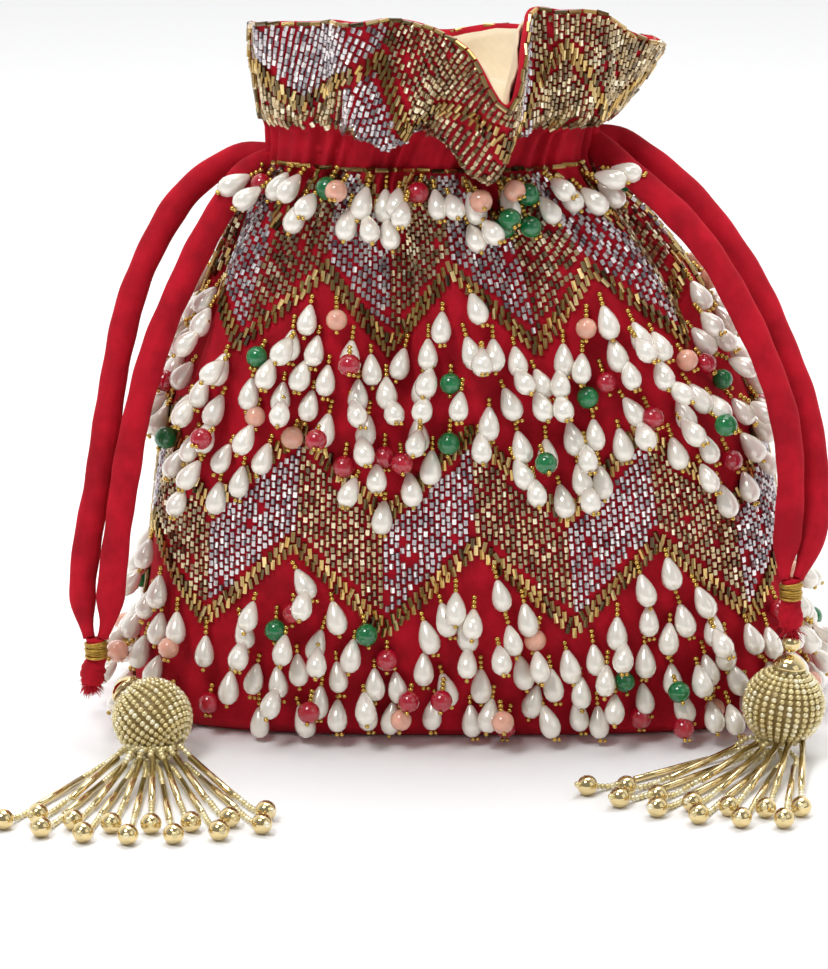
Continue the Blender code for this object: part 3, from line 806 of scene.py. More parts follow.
class Cloth:
    """One side's velvet at its gathered shape, read at a place across the flat cloth and a height."""

    columns = 211
    heights = np.concatenate([np.linspace(0, 8, 7), np.linspace(11, 119, 37), np.linspace(121, 224, 61)])

    def __init__(self, side, depth, gathers):
        half = SIDES[side]
        angles = np.linspace(half * math.pi, (half + 1) * math.pi, 721)
        self.smooth = np.array([self.row(h, angles) for h in self.heights])
        self.droop(LOBES[side])
        self.out = -inward(self.smooth)
        self.depth = depth * step(122, 160, self.heights) * (1 - 0.8 * step(184, 212, self.heights))
        turns = np.linspace(0, 1, self.columns) * gathers * 2 * math.pi
        turns += 1.1 * np.sin(turns * 0.131 + half) + 0.8 * np.sin(turns * 0.313 + 2 * half)
        sway = 0.8 * np.sin(self.heights / 11)[:, None]
        pleat = 0.5 - 0.5 * np.cos(turns[None] + sway)
        pleat *= 0.75 + 0.45 * np.sin(turns * 0.217 + 1)
        slack = 0.4 * np.sin(turns * 0.11 + self.heights[:, None] / 21) * step(4, 30, self.heights)[:, None]
        self.points = self.smooth - self.out * (self.depth[:, None] * pleat)[..., None]
        self.points += self.out * slack[..., None]

    def row(self, height, angles):
        """One row of the cloth, its columns even across it but for where the ruffle bunches."""
        line = evenly(cloth_row(height, angles), 721, self.trim(height), 1 - self.trim(height))
        share = np.linspace(0, 1, self.columns)
        share += RUFFLE_BUNCHED * step(165, 190, height) * np.sin(math.pi * share)
        at = share * 720
        return np.column_stack([np.interp(at, np.arange(721), line[:, k]) for k in range(3)])

    def droop(self, lobes):
        """Hangs each lobe of the ruffle out and down over the casing."""
        across = np.linspace(0, CLOTH_WIDTH, self.columns)
        level = -inward(self.smooth)[np.argmin(abs(self.heights - 176))] * (1, 1, 0)
        for middle, width, out, down, kept in lobes:
            rise = step(CASING[1] + 0.5, CASING[1] + 10, self.heights)
            rise *= 1 - (1 - kept) * step(CASING[1] + 12, CLOTH_HEIGHT, self.heights)
            weight = rise[:, None] * np.exp(-(((across - middle) / width) ** 2))
            self.smooth += weight[..., None] * (level * out - (0, 0, down))

    @staticmethod
    def trim(height):
        """Share of the width left open at each side, wider where the cord leaves the casing."""
        opening = step(CASING[0] - 6, CASING[0], height) * (1 - step(178, 184, height))
        return SEAM_DRAWN + CORD_OPENING * opening

    def read(self, grid, across, height):
        across, height = np.broadcast_arrays(np.asarray(across, float), np.asarray(height, float))
        c = np.clip(across / CLOTH_WIDTH, 0, 1) * (self.columns - 1)
        c0 = np.minimum(c.astype(int), self.columns - 2)
        r0 = np.clip(np.searchsorted(self.heights, height, side="right") - 1, 0, len(self.heights) - 2)
        span = self.heights[r0 + 1] - self.heights[r0]
        fc, fr = (c - c0)[..., None], ((height - self.heights[r0]) / span)[..., None]
        fr = np.clip(fr, 0, 1)
        low = grid[r0, c0] * (1 - fc) + grid[r0, c0 + 1] * fc
        high = grid[r0 + 1, c0] * (1 - fc) + grid[r0 + 1, c0 + 1] * fc
        return low * (1 - fr) + high * fr

    def at(self, across, height, lift=0.0):
        """Points this far off the cloth, with its directions out, up and across."""
        out = self.read(self.out, across, height)
        out /= np.linalg.norm(out, axis=-1, keepdims=True)
        above, below = (self.read(self.points, across, np.asarray(height) + k) for k in (1, -1))
        up = above - below
        up -= out * (up * out).sum(-1, keepdims=True)
        up /= np.linalg.norm(up, axis=-1, keepdims=True)
        return self.read(self.points, across, height) + out * lift, out, up, np.cross(up, out)


CLOTHS = {}


def cloth(side):
    if side not in CLOTHS:
        sizes = bpy.context.scene.potli_sizes
        CLOTHS[side] = Cloth(side, sizes.gather / MM, sizes.gathers)
    return CLOTHS[side]


def zigzag(across):
    """0 at the zigzag's valleys and 1 at its peaks."""
    turn = (np.asarray(across) - ZIGZAG_VALLEY) / ZIGZAG_PERIOD
    return 1 - np.abs(2 * (turn - np.floor(turn)) - 1)


def border_height(border, across):
    low, high = border
    return low + (high - low) * zigzag(across)


def rising(across):
    """True where the zigzag climbs from left to right."""
    turn = (np.asarray(across) - ZIGZAG_VALLEY) / ZIGZAG_PERIOD
    return turn - np.floor(turn) < 0.5


def bead_columns(side, height):
    """Places across the cloth for columns of beads a column's width apart at this height."""
    line = cloth(side).at(np.linspace(0, CLOTH_WIDTH, 400), height)[0]
    run = np.linalg.norm(np.diff(line, axis=0), axis=1).sum()
    count = int(run / (bpy.context.scene.potli_sizes.column / MM))
    return (np.arange(count) + 0.5) * CLOTH_WIDTH / count


def filled(side, zone_height, low, high, keep):
    """Bead places between two heights that pass the keep test, staggered from column to column."""
    pitch = bpy.context.scene.potli_sizes.row / MM
    columns = bead_columns(side, zone_height)
    rows = np.arange(low, high, pitch)
    across, height = np.meshgrid(columns, rows)
    height = height + (np.arange(len(columns)) % 2) * pitch / 2
    across, height = across.ravel(), height.ravel()
    wanted = keep(across, height)
    return across[wanted], height[wanted]


def in_band(band, margin):
    """A test for places inside a band, clear of its borders."""
    def test(across, height):
        low, high = (border_height(b, across) for b in band)
        top = np.minimum(high - margin, CASING[0] - 2.5)
        return (height > low + margin) & (height < top)
    return test


def on_bag(piece, slot=None, *nodes):
    """Lets a piece ride on the bag and stand for CAD nodes; its slot is not used."""
    return on_body("bag", piece, slot, *nodes)


def on_body(body, piece, slot=None, *nodes):
    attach(piece, body)
    if nodes:
        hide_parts(*nodes)
    return piece


# Pieces sewn to each side's velvet, which go with it.
SEWN = {"front": [], "back": []}


def sewn_on(side, piece, slot=None):
    SEWN[side].append(on_bag(piece, slot))
    return piece


class POTLI_OT_stage(bpy.types.Operator):
    """A pale floor, soft studio light and the camera"""

    bl_idname = "potli.stage"
    bl_label = "Stage"

    distance: FloatProperty(name="Distance", description="Camera to the bag", default=1.2, unit="LENGTH")
    elevation: FloatProperty(name="Elevation", description="Camera above level", default=math.radians(16),
                             subtype="ANGLE")

    def execute(self, context):
        scene = context.scene
        target = Vector((-0.0168, 0.0, 0.0679))
        back = Vector((0, -math.cos(self.elevation), math.sin(self.elevation)))
        lens = bpy.data.cameras.new("camera")
        lens.sensor_fit, lens.sensor_width, lens.lens = "HORIZONTAL", 36.0, 173.9
        camera = bpy.data.objects.new("camera", lens)
        camera.location = target + back * self.distance
        camera.rotation_euler = (-back).to_track_quat("-Z", "Y").to_euler()
        scene.collection.objects.link(camera)
        scene.camera = camera

        edge = 4000.0
        corners = np.array([(-edge, -edge, 0), (edge, -edge, 0), (edge, edge, 0), (-edge, edge, 0)], float)
        place_piece("floor", corners - (0, 0, 0.05), [np.array([[0, 1, 2, 3]])], "floor")

        world = scene.world or bpy.data.worlds.new("world")
        scene.world = world
        world.use_nodes = True
        tree = world.node_tree
        ray = node(tree, "ShaderNodeTexCoord").outputs["Generated"]
        behind = node(tree, "ShaderNodeSeparateXYZ", {"Vector": ray}).outputs["Y"]
        glow = node(tree, "ShaderNodeMapRange", {"Value": behind, "From Min": -0.3, "From Max": 0.6,
                                                 "To Min": 0.3, "To Max": 1.25})
        tree.links.new(glow.outputs["Result"], tree.nodes["Background"].inputs["Strength"])
        tree.nodes["Background"].inputs["Color"].default_value = (1, 1, 1, 1)
        scene.view_settings.view_transform = "Standard"
        for name, place, size, power in (
            ("key", (-0.55, -0.75, 1.35), 0.5, 10.0),
            ("fill", (1.1, -0.9, 0.8), 1.0, 2.5),
            ("top", (0.1, 0.25, 1.5), 1.0, 12.0),
        ):
            light = bpy.data.lights.new(name, "AREA")
            light.size, light.energy = size, power
            lamp = bpy.data.objects.new(name, light)
            lamp.location = place
            lamp.rotation_euler = (target - lamp.location).to_track_quat("-Z", "Y").to_euler()
            scene.collection.objects.link(lamp)
        return {"FINISHED"}


class POTLI_OT_cords(bpy.types.Operator):
    """The two drawcords' free runs, flattened tubes of sewn velvet"""

    bl_idname = "potli.cords"
    bl_label = "Drawcords"

    def run(self, name, route, inside, node_name, far_end, pieces):
        """One free run, from just inside the casing down to its binding."""
        sizes = bpy.context.scene.potli_sizes
        fine, length = cord_path([*route, *inside])
        fine = evenly(fine, 90, 0, 1)[::-1]
        run = np.linspace(0, length[-1], 90)
        bound = 1 - step(0, 13, length[-1] - run)
        half_w = (sizes.cord_width / MM / 2) * (1 - 0.58 * bound)
        half_d = (sizes.cord_depth / MM / 2) * (1 - 0.45 * bound)
        crease = 1 + 0.035 * np.sin(run / 5.3) + 0.025 * np.sin(run / 2.1 + 1)
        points, faces = swept(fine, (0.1, -1.0, 0.1), half_w * crease, half_d, 18, 0.1)
        piece = on_bag(place_piece(name, points, faces, "velvet"), "cord_velvet", node_name)
        return piece

    def execute(self, context):
        for side, front, back, height, angles in (
            ("left", LEFT_FRONT_RUN, LEFT_BACK_RUN, LEFT_CORD_HEIGHT, (EXIT_ANGLE, 360 - EXIT_ANGLE)),
            ("right", RIGHT_FRONT_RUN, RIGHT_BACK_RUN, RIGHT_CORD_HEIGHT,
             (180 + EXIT_ANGLE, 540 - EXIT_ANGLE)),
        ):
            node_name = side + "_drawcord"
            binding, fray = bind_cord(side)
            ring = np.array(cord_ring(height, *angles))
            starts = (ring[:2], ring[:-3:-1]) if side == "left" else (ring[:-3:-1], ring[:2])
            self.run(side + "_cord_front_run", front, starts[0], node_name, "fitting", [binding, fray])
            self.run(side + "_cord_back_run", back, starts[1], node_name, "object", [])
            points, faces = swept(ring, (0, 0, 1.0), CORD_RADIUS_GATHERED, CORD_RADIUS_GATHERED, 10)
            on_bag(place_piece(side + "_cord_in_casing", points, faces, "velvet"), "cord_velvet", node_name)
        return {"FINISHED"}


# The thread wound round a binding, and the stray pile threads of a cord's frayed end.
WOUND_TURNS = 7
WOUND_THREAD_RADIUS = 0.42
STRAY_THREADS = 260
HAIR_RADII = np.array([0.2, 0.16, 0.06])


def bind_cord(side):
    """The gold thread wound round a cord's two ends, and the frayed velvet below it."""
    middle = np.array(LEFT_BINDING if side == "left" else RIGHT_BINDING)
    fray = np.array(LEFT_FRAY if side == "left" else RIGHT_FRAY)
    turns = np.linspace(0, WOUND_TURNS * 2 * math.pi, WOUND_TURNS * 20)
    wobble = 0.22 * np.sin(turns * 0.37) + 0.15 * np.sin(turns * 1.7)
    wound = np.column_stack([
        (BINDING_RADIUS - 0.45 + wobble) * np.cos(turns),
        (BINDING_RADIUS - 0.45 + wobble) * np.sin(turns),
        np.linspace(-BINDING_HEIGHT / 2, BINDING_HEIGHT / 2, len(turns)) + 0.25 * np.sin(turns * 0.9),
    ]) + middle
    points, faces = swept(wound, (0, 0, 1.0), WOUND_THREAD_RADIUS, WOUND_THREAD_RADIUS, 6)
    binding = on_bag(place_piece(side + "_cord_binding_thread", points, faces, "thread"),
                     "gold_thread", side + "_cord_binding")

    path = evenly(np.vstack([middle + (0, 0, 3.6), middle, fray]), 26, 0, 1)
    share = np.linspace(0, 1, 26)
    half = 2.7 + 0.9 * np.exp(-(((share - 0.7) / 0.2) ** 2)) - 1.3 * step(0.88, 1, share)
    points, faces = swept(path, (0, -1.0, 0), half, half * 0.9, 12)
    points += CHANCE.normal(0, 0.2, points.shape)
    threads, thread_faces, count = [points], [faces[0]], len(points)
    tip = fray[-1]
    for _ in range(STRAY_THREADS):
        root = path[min(25, int(CHANCE.triangular(10, 26, 26)))]
        spin = CHANCE.uniform(0, 2 * math.pi)
        flare = CHANCE.uniform(0.15, 1.0)
        reach = CHANCE.uniform(1.0, 2.9)
        away = np.array([math.cos(spin) * flare, math.sin(spin) * flare, -1.0])
        start = root + away * (1, 1, 0) * 1.9
        bend = CHANCE.normal(0, 0.4, 3)
        line = np.array([start, start + away * reach * 0.5 + bend, start + away * reach + bend * 1.4])
        line[:, 2] = np.maximum(line[:, 2], tip[2] - 7)
        hair, hair_faces = swept(line, (0.3, -1.0, 0.2), HAIR_RADII, HAIR_RADII, 3)
        threads.append(hair)
        thread_faces.append(hair_faces[0] + count)
        count += len(hair)
    fray_piece = place_piece(side + "_cord_fray_threads", np.vstack(threads),
                             [np.concatenate(thread_faces), faces[1]], "velvet")
    return binding, on_bag(fray_piece, "cord_velvet", side + "_cord_fray")


class POTLI_OT_velvet(bpy.types.Operator):
    """The two gathered velvet sides"""

    bl_idname = "potli.velvet"
    bl_label = "Velvet sides"

    def execute(self, context):
        for side in SIDES:
            c = cloth(side)
            thick = PANEL_THICKNESS + 0.2 - 1.1 * step(210, CLOTH_HEIGHT, c.heights)
            inner = c.smooth - c.out * (thick + c.depth)[:, None, None]
            inner[0, :, 2] = np.maximum(inner[0, :, 2], 0)
            points = np.concatenate([c.points.reshape(-1, 3), inner.reshape(-1, 3)])
            faces = np.array(shell_faces(len(c.heights), c.columns))
            on_bag(place_piece(side + "_velvet", points, [faces], "velvet"), "velvet", side + "_panel")
        return {"FINISHED"}


class POTLI_OT_lining(bpy.types.Operator):
    """The lining pouch inside the velvet"""

    bl_idname = "potli.lining"
    bl_label = "Lining"

    def rings(self, inset):
        """Closed rings round the inside of the bag, from near its floor up to the rim."""
        front, back = cloth("front"), cloth("back")
        rows = np.flatnonzero((front.heights >= 8) & (front.heights <= 222.5))[::2]
        columns = np.arange(0, front.columns, 3)
        grid = np.concatenate([c.smooth[np.ix_(rows, columns)] for c in (front, back)], axis=1)
        out = np.concatenate([c.out[np.ix_(rows, columns)] for c in (front, back)], axis=1)
        heights = front.heights[rows]
        casing = step(CASING_BOTTOM - CASING_EASE, CASING_BOTTOM, heights)
        casing *= 1 - step(CASING_TOP, CASING_TOP + CASING_EASE, heights)
        turns = np.linspace(0, 2 * math.pi, grid.shape[1], endpoint=False)
        tuck = 0.35 * (np.sin(turns * 23) + np.sin(turns * 37 + 1)) * step(120, 160, heights)[:, None]
        close = 1.3 * step(206, 222, heights)
        behind = inset + CASING_DEPTH * casing + front.depth[rows] - close
        return grid - out * (behind[:, None] + tuck)[..., None]

    def execute(self, context):
        gap = PANEL_THICKNESS + LINING_GAP
        outer, inner = self.rings(gap), self.rings(gap + LINING_THICKNESS)
        foot = outer[0] * LINING_FOOT_SHARE + (0, 0, LINING_FOOT)
        floor = inner[0] * LINING_FLOOR_SHARE + (0, 0, LINING_FOOT + LINING_FLOOR)
        rings = np.concatenate([foot[None], outer, inner[::-1], floor[None]])
        piece = place_piece("lining", rings.reshape(-1, 3), ring_faces(*rings.shape[:2]), "lining")
        on_bag(piece, "lining", "lining_pouch")
        return {"FINISHED"}


class POTLI_OT_base(bpy.types.Operator):
    """The stiffened oval base, covered in velvet"""

    bl_idname = "potli.base"
    bl_label = "Base"

    def profile(self):
        """Share of the base's full size and height, from its middle below to its middle above."""
        edge = ((1.2, 0), (0.3, 0.3), (0, BASE_THICKNESS / 2), (0.3, BASE_THICKNESS - 0.3),
                (1.2, BASE_THICKNESS))
        rounded = [(1 - inset / BASE_HALF[0], height) for inset, height in edge]
        return [(0.03, 0), *rounded, (0.03, BASE_THICKNESS)]

    def execute(self, context):
        angles = np.linspace(0, 2 * math.pi, 145)[:-1]
        rings = []
        for scale, height in self.profile():
            plan, _ = outline((BASE_HALF[0] * scale, BASE_HALF[1] * scale, 0.0, BASE_SQUARE), angles)
            rings.append(np.column_stack([plan, np.full(len(plan), height)]))
        piece = place_piece("base_cover", np.vstack(rings), ring_faces(len(rings), len(angles)), "velvet")
        on_bag(piece, "velvet", "base_panel")
        return {"FINISHED"}


class POTLI_OT_bands(bpy.types.Operator):
    """The bands filled with silver and gold glass beads"""

    bl_idname = "potli.bands"
    bl_label = "Bead bands"

    def fill(self, side):
        """Every filled place of one side: across, height and whether its bead is silver."""
        found = []
        for band, zone, climbing in ((MIDDLE_BAND, MIDDLE_ZONE, True), (UPPER_BAND, UPPER_ZONE, False)):
            low, high = band[0][0], min(band[1][1], CASING[0])
            across, height = filled(side, zone, low, high, in_band(band, BAND_MARGIN))
            found.append((across, height, rising(across) == climbing))
        across, height = filled(side, RUFFLE_ZONE, CASING[1] + 1.0, CLOTH_HEIGHT - 2.7,
                                beside_ruffle_border)
        found.append((across, height, ruffle_silver(across, height)))
        return [np.concatenate(part) for part in zip(*found)]

    def execute(self, context):
        sizes = context.scene.potli_sizes
        half, radius = sizes.bead_length / MM / 2, sizes.bead_width / MM / 2
        for side in SIDES:
            across, height, silver = self.fill(side)
            kept = CHANCE.random(len(across)) > LOST_BEADS
            across, height, silver = across[kept], height[kept], silver[kept]
            across = across + CHANCE.normal(0, 0.1, len(across))
            height = height + CHANCE.normal(0, 0.16, len(across))
            tilt = CHANCE.normal(0, 0.07, len(across))
            spin = CHANCE.uniform(0, math.pi / 3, len(across))
            for kind, chosen in (("silver", silver), ("champagne", ~silver)):
                centre, out, up, along = cloth(side).at(across[chosen], height[chosen], radius * 0.8)
                beads = Strung(cut_bead(half, radius, 6, 0.25))
                turned_out = out * np.cos(spin[chosen])[:, None] + along * np.sin(spin[chosen])[:, None]
                beads.add(centre, up + along * tilt[chosen][:, None], turned_out)
                sewn_on(side, beads.piece(f"{side}_{kind}_beads", kind, smooth=False))
        return {"FINISHED"}


def beside_ruffle_border(across, height):
    """True where the ruffle's beads are clear of its zigzag of bugles."""
    return np.abs(height - border_height(RUFFLE_BORDER, across)) > RUFFLE_MARGIN


def ruffle_silver(across, height):
    """True where the ruffle's beads are silver, above and below its own zigzag."""
    above = height > border_height(RUFFLE_BORDER, across)
    upper = (across < 69) | ((across > 150) & (across < 168))
    lower = ((across > 60) & (across < 105)) | ((across > 140) & (across < 168))
    return np.where(above, upper, lower)


class POTLI_OT_borders(bpy.types.Operator):
    """The bugle beads along every band's border, two staggered rows to each"""

    bl_idname = "potli.borders"
    bl_label = "Bugle borders"

    def execute(self, context):
        sizes = context.scene.potli_sizes
        half, radius = sizes.bugle_length / MM / 2, sizes.bugle_width / MM / 2
        borders = [(b, MIDDLE_ZONE) for b in MIDDLE_BAND] + [(b, UPPER_ZONE) for b in UPPER_BAND]
        borders.append((RUFFLE_BORDER, RUFFLE_ZONE))
        for side in SIDES:
            bugles = Strung(cut_bead(half, radius, 6, 0.12))
            for border, zone in borders:
                columns = bead_columns(side, zone)
                pitch = columns[1] - columns[0]
                for shift, lift in ((0.0, BORDER_LIFT), (0.5, -BORDER_LIFT)):
                    across = columns + shift * pitch
                    height = border_height(border, across) + lift
                    keep = (height < CASING[0] - 2) | (height > CASING[1] + 2)
                    keep &= (across > 1.5) & (across < CLOTH_WIDTH - 1.5)
                    across, height = across[keep], height[keep]
                    centre, out, up, along = cloth(side).at(across, height, radius)
                    lean = CHANCE.normal(0, 0.16, len(across))[:, None]
                    tip = CHANCE.normal(0, 0.08, len(across))[:, None]
                    bugles.add(centre, up + along * lean + out * tip, out)
            sewn_on(side, bugles.piece(side + "_border_bugles", "bugle", smooth=False))
        return {"FINISHED"}


class POTLI_OT_trims(bpy.types.Operator):
    """The single lines of bugles along the rim, the side seams and the casing's seam"""

    bl_idname = "potli.trims"
    bl_label = "Rim and seam trims"

    def line(self, bugles, side, across, height, lift):
        """Bugles end to end along a line on the cloth."""
        sizes = bpy.context.scene.potli_sizes
        pitch = sizes.rim_bugle / MM + 0.35
        centre, out, _, _ = cloth(side).at(across, height, lift)
        run = run_along(centre)
        places = np.arange(pitch / 2, run[-1], pitch)
        spots, outs = read_along(places, run, centre), read_along(places, run, out)
        ahead, behind = read_along(places + 1, run, centre), read_along(places - 1, run, centre)
        spots = spots + CHANCE.normal(0, 0.12, spots.shape)
        bugles.add(spots, ahead - behind + CHANCE.normal(0, 0.12, spots.shape), outs)

    def execute(self, context):
        sizes = context.scene.potli_sizes
        radius = sizes.bugle_width / MM / 2
        for side in SIDES:
            bugles = Strung(cut_bead(sizes.rim_bugle / MM / 2, radius, 6, 0.12))
            across = np.linspace(1.2, CLOTH_WIDTH - 1.2, 500)
            self.line(bugles, side, across, np.full(500, CLOTH_HEIGHT - 0.6), 0.3)
            self.line(bugles, side, across[20:-20], np.full(460, CASING[0] - 0.5), radius)
            for edge in (1.4, CLOTH_WIDTH - 1.4):
                for low, high in ((4.0, CASING[0] - 6), (CASING[1] + 1, CLOTH_HEIGHT - 3)):
                    height = np.linspace(low, high, 300)
                    self.line(bugles, side, np.full(300, edge), height, radius)
            sewn_on(side, bugles.piece(side + "_trim_bugles", "bugle", smooth=False))
        return {"FINISHED"}


# The turns of the left tassel's swivel, from its lowest limit to its highest.
LEFT_SWING = np.radians(np.arange(-60, 21, 4))


def clear_of_tassel(spot, reach):
    """True where a drop this long stays clear of the left ball at every turn of its swivel."""
    arm = np.array(LEFT_BALL[:2]) - LEFT_PIVOT
    swung = np.column_stack([arm[0] * np.cos(LEFT_SWING) - arm[1] * np.sin(LEFT_SWING),
                             arm[0] * np.sin(LEFT_SWING) + arm[1] * np.cos(LEFT_SWING)]) + LEFT_PIVOT
    low = spot[2] + np.array([-reach, 0, reach])
    level = np.linalg.norm(swung - spot[:2], axis=1).min()
    rise = np.abs(low - LEFT_BALL[2]).min()
    return math.hypot(level, rise) > LEFT_BALL_RADIUS + reach * 0.8


PEARL_OUTLINE = ((-0.5, 0), (-0.46, 0.25), (-0.35, 0.42), (-0.2, 0.5), (-0.04, 0.485), (0.14, 0.4),
                 (0.3, 0.27), (0.43, 0.15), (0.5, 0))
STONES = ("green", "ruby", "peach")
STONE_SHARE = 0.15


class POTLI_OT_fringe(bpy.types.Operator):
    """The hanging drops: pearls and stone beads, each under its gold seeds"""

    bl_idname = "potli.fringe"
    bl_label = "Hanging drops"

    def anchors(self, sizes):
        """Places where drops are sewn on, from the casing down to the base."""
        gap, rows = sizes.drop_spacing / MM, sizes.drop_rows / MM
        found = [(s, CASING[0] - 1.5) for s in np.arange(5, CLOTH_WIDTH - 2, 7.5)]
        found += [(s, CASING[0] - 9) for s in (*np.arange(78, 112, 6.0), *np.arange(140, 176, 6.0))]
        for top, foot in ((UPPER_BAND[0], MIDDLE_BAND[1]), (MIDDLE_BAND[0], (20.0, 20.0))):
            for row in range(7):
                shift = gap / 2 * (row % 2)
                for across in np.arange(4 + shift, CLOTH_WIDTH - 2, gap):
                    height = border_height(top, across) - 3 - row * rows
                    if height > border_height(foot, across) + 1:
                        found.append((across, height))
        found += [(s, 17.0 + 2.5 * (k % 2)) for k, s in enumerate(np.arange(5, CLOTH_WIDTH - 3, 6.6))]
        return found

    def foot_of(self, side, across, height, lift):
        """A point hanging in front of the cloth, straight down past the rounded base edge."""
        spot, out, _, along = cloth(side).at(across, max(height, 9.0), lift)
        return spot + (0, 0, min(height - 9.0, 0)), out, along

    def free(self, side, across, height, wide, tall, taken):
        """A clear centre for a bead, standing off further where others crowd it. None if none is."""
        for extra in np.arange(0, 8.5, 1.2):
            spot, out, along = self.foot_of(side, across, height, wide / 2 + 0.5 + extra)
            spot[2] = max(spot[2], tall / 2 + 0.3)
            if not taken:
                return spot, out, along
            apart = np.array(taken) - spot
            apart[:, 2] /= tall / wide * 0.96
            if np.linalg.norm(apart, axis=1).min() > wide * 0.96:
                return spot, out, along
        return None

    def execute(self, context):
        sizes = context.scene.potli_sizes
        wide, tall, stone = sizes.pearl_width / MM, sizes.pearl_length / MM, sizes.stone / MM
        seed = sizes.seed / MM
        pearl = turned_bead([(z * tall, r * wide) for z, r in PEARL_OUTLINE], 11)
        for side in SIDES:
            strung = {"pearl": Strung(pearl)}
            strung.update({kind: Strung(round_bead(stone / 2, 14, 9)) for kind in STONES})
            seeds = Strung(round_bead(seed / 2, 8, 5, 0.9))
            taken = []
            for across, height in self.anchors(sizes):
                kind = "pearl" if CHANCE.random() > STONE_SHARE else STONES[CHANCE.integers(3)]
                long = tall if kind == "pearl" else stone
                count = CHANCE.integers(2, 4)
                hang = count * seed * 0.88 + long / 2
                across = across + CHANCE.normal(0, 1.3)
                height = height + CHANCE.normal(0, 1.6)
                sway = CHANCE.normal(0, 0.18)
                found = self.free(side, across + sway * hang, height - hang, wide, long, taken)
                if found is None:
                    continue
                centre, out, along = found
                if not clear_of_tassel(centre, long / 2 + 2 * seed):
                    continue
                taken.append(centre)
                root, _, _, _ = cloth(side).at(across, height, seed / 2)
                line = root - centre
                line /= np.linalg.norm(line)
                strung[kind].add(centre, line, out, CHANCE.uniform(0.94, 1.05))
                for place in range(count):
                    seeds.add(centre + line * (long / 2 + seed * (0.3 + 0.84 * place)), line, out)
                foot = centre - line * (long / 2 + seed * 0.28)
                if foot[2] > seed:
                    seeds.add(foot, line, out, 0.85)
                    if CHANCE.random() < 0.5:
                        seeds.add(foot + along * seed * 0.8, line, out, 0.75)
            for kind, beads in strung.items():
                sewn_on(side, beads.piece(f"{side}_{kind}_drops", kind))
            sewn_on(side, seeds.piece(side + "_drop_seeds", "plated"), "gold_seed_beads")
        return {"FINISHED"}


TASSEL_SEED = 1.9
TASSEL_BUGLE_HALF = 13.0


def strand_knots(centre, radius, toward, aside, upper, end):
    """A strand's way from beside the ball, down and along the floor to its end ball."""
    height = STRAND_TIERS[upper]
    under = centre[2] - height
    beside = math.sqrt(max(radius**2 - under**2, 0)) + STRAND_RADIUS + TOUCH_GAP
    beside = max(beside, STRAND_NEAREST)
    ahead = math.sqrt(max(beside**2 - aside**2, 0))
    start = Vector(centre[:2]) + toward * ahead + Vector((-toward.y, toward.x)) * aside
    knots = []
    for share in STRAND_KNOTS:
        spot = start + (Vector(end) - start) * share
        knots.append((*spot, STRAND_LOW + (height - STRAND_LOW) * (1 - share) ** 2))
    return [*knots, (*end, STRAND_END_RADIUS + FLOOR_CLEARANCE)]


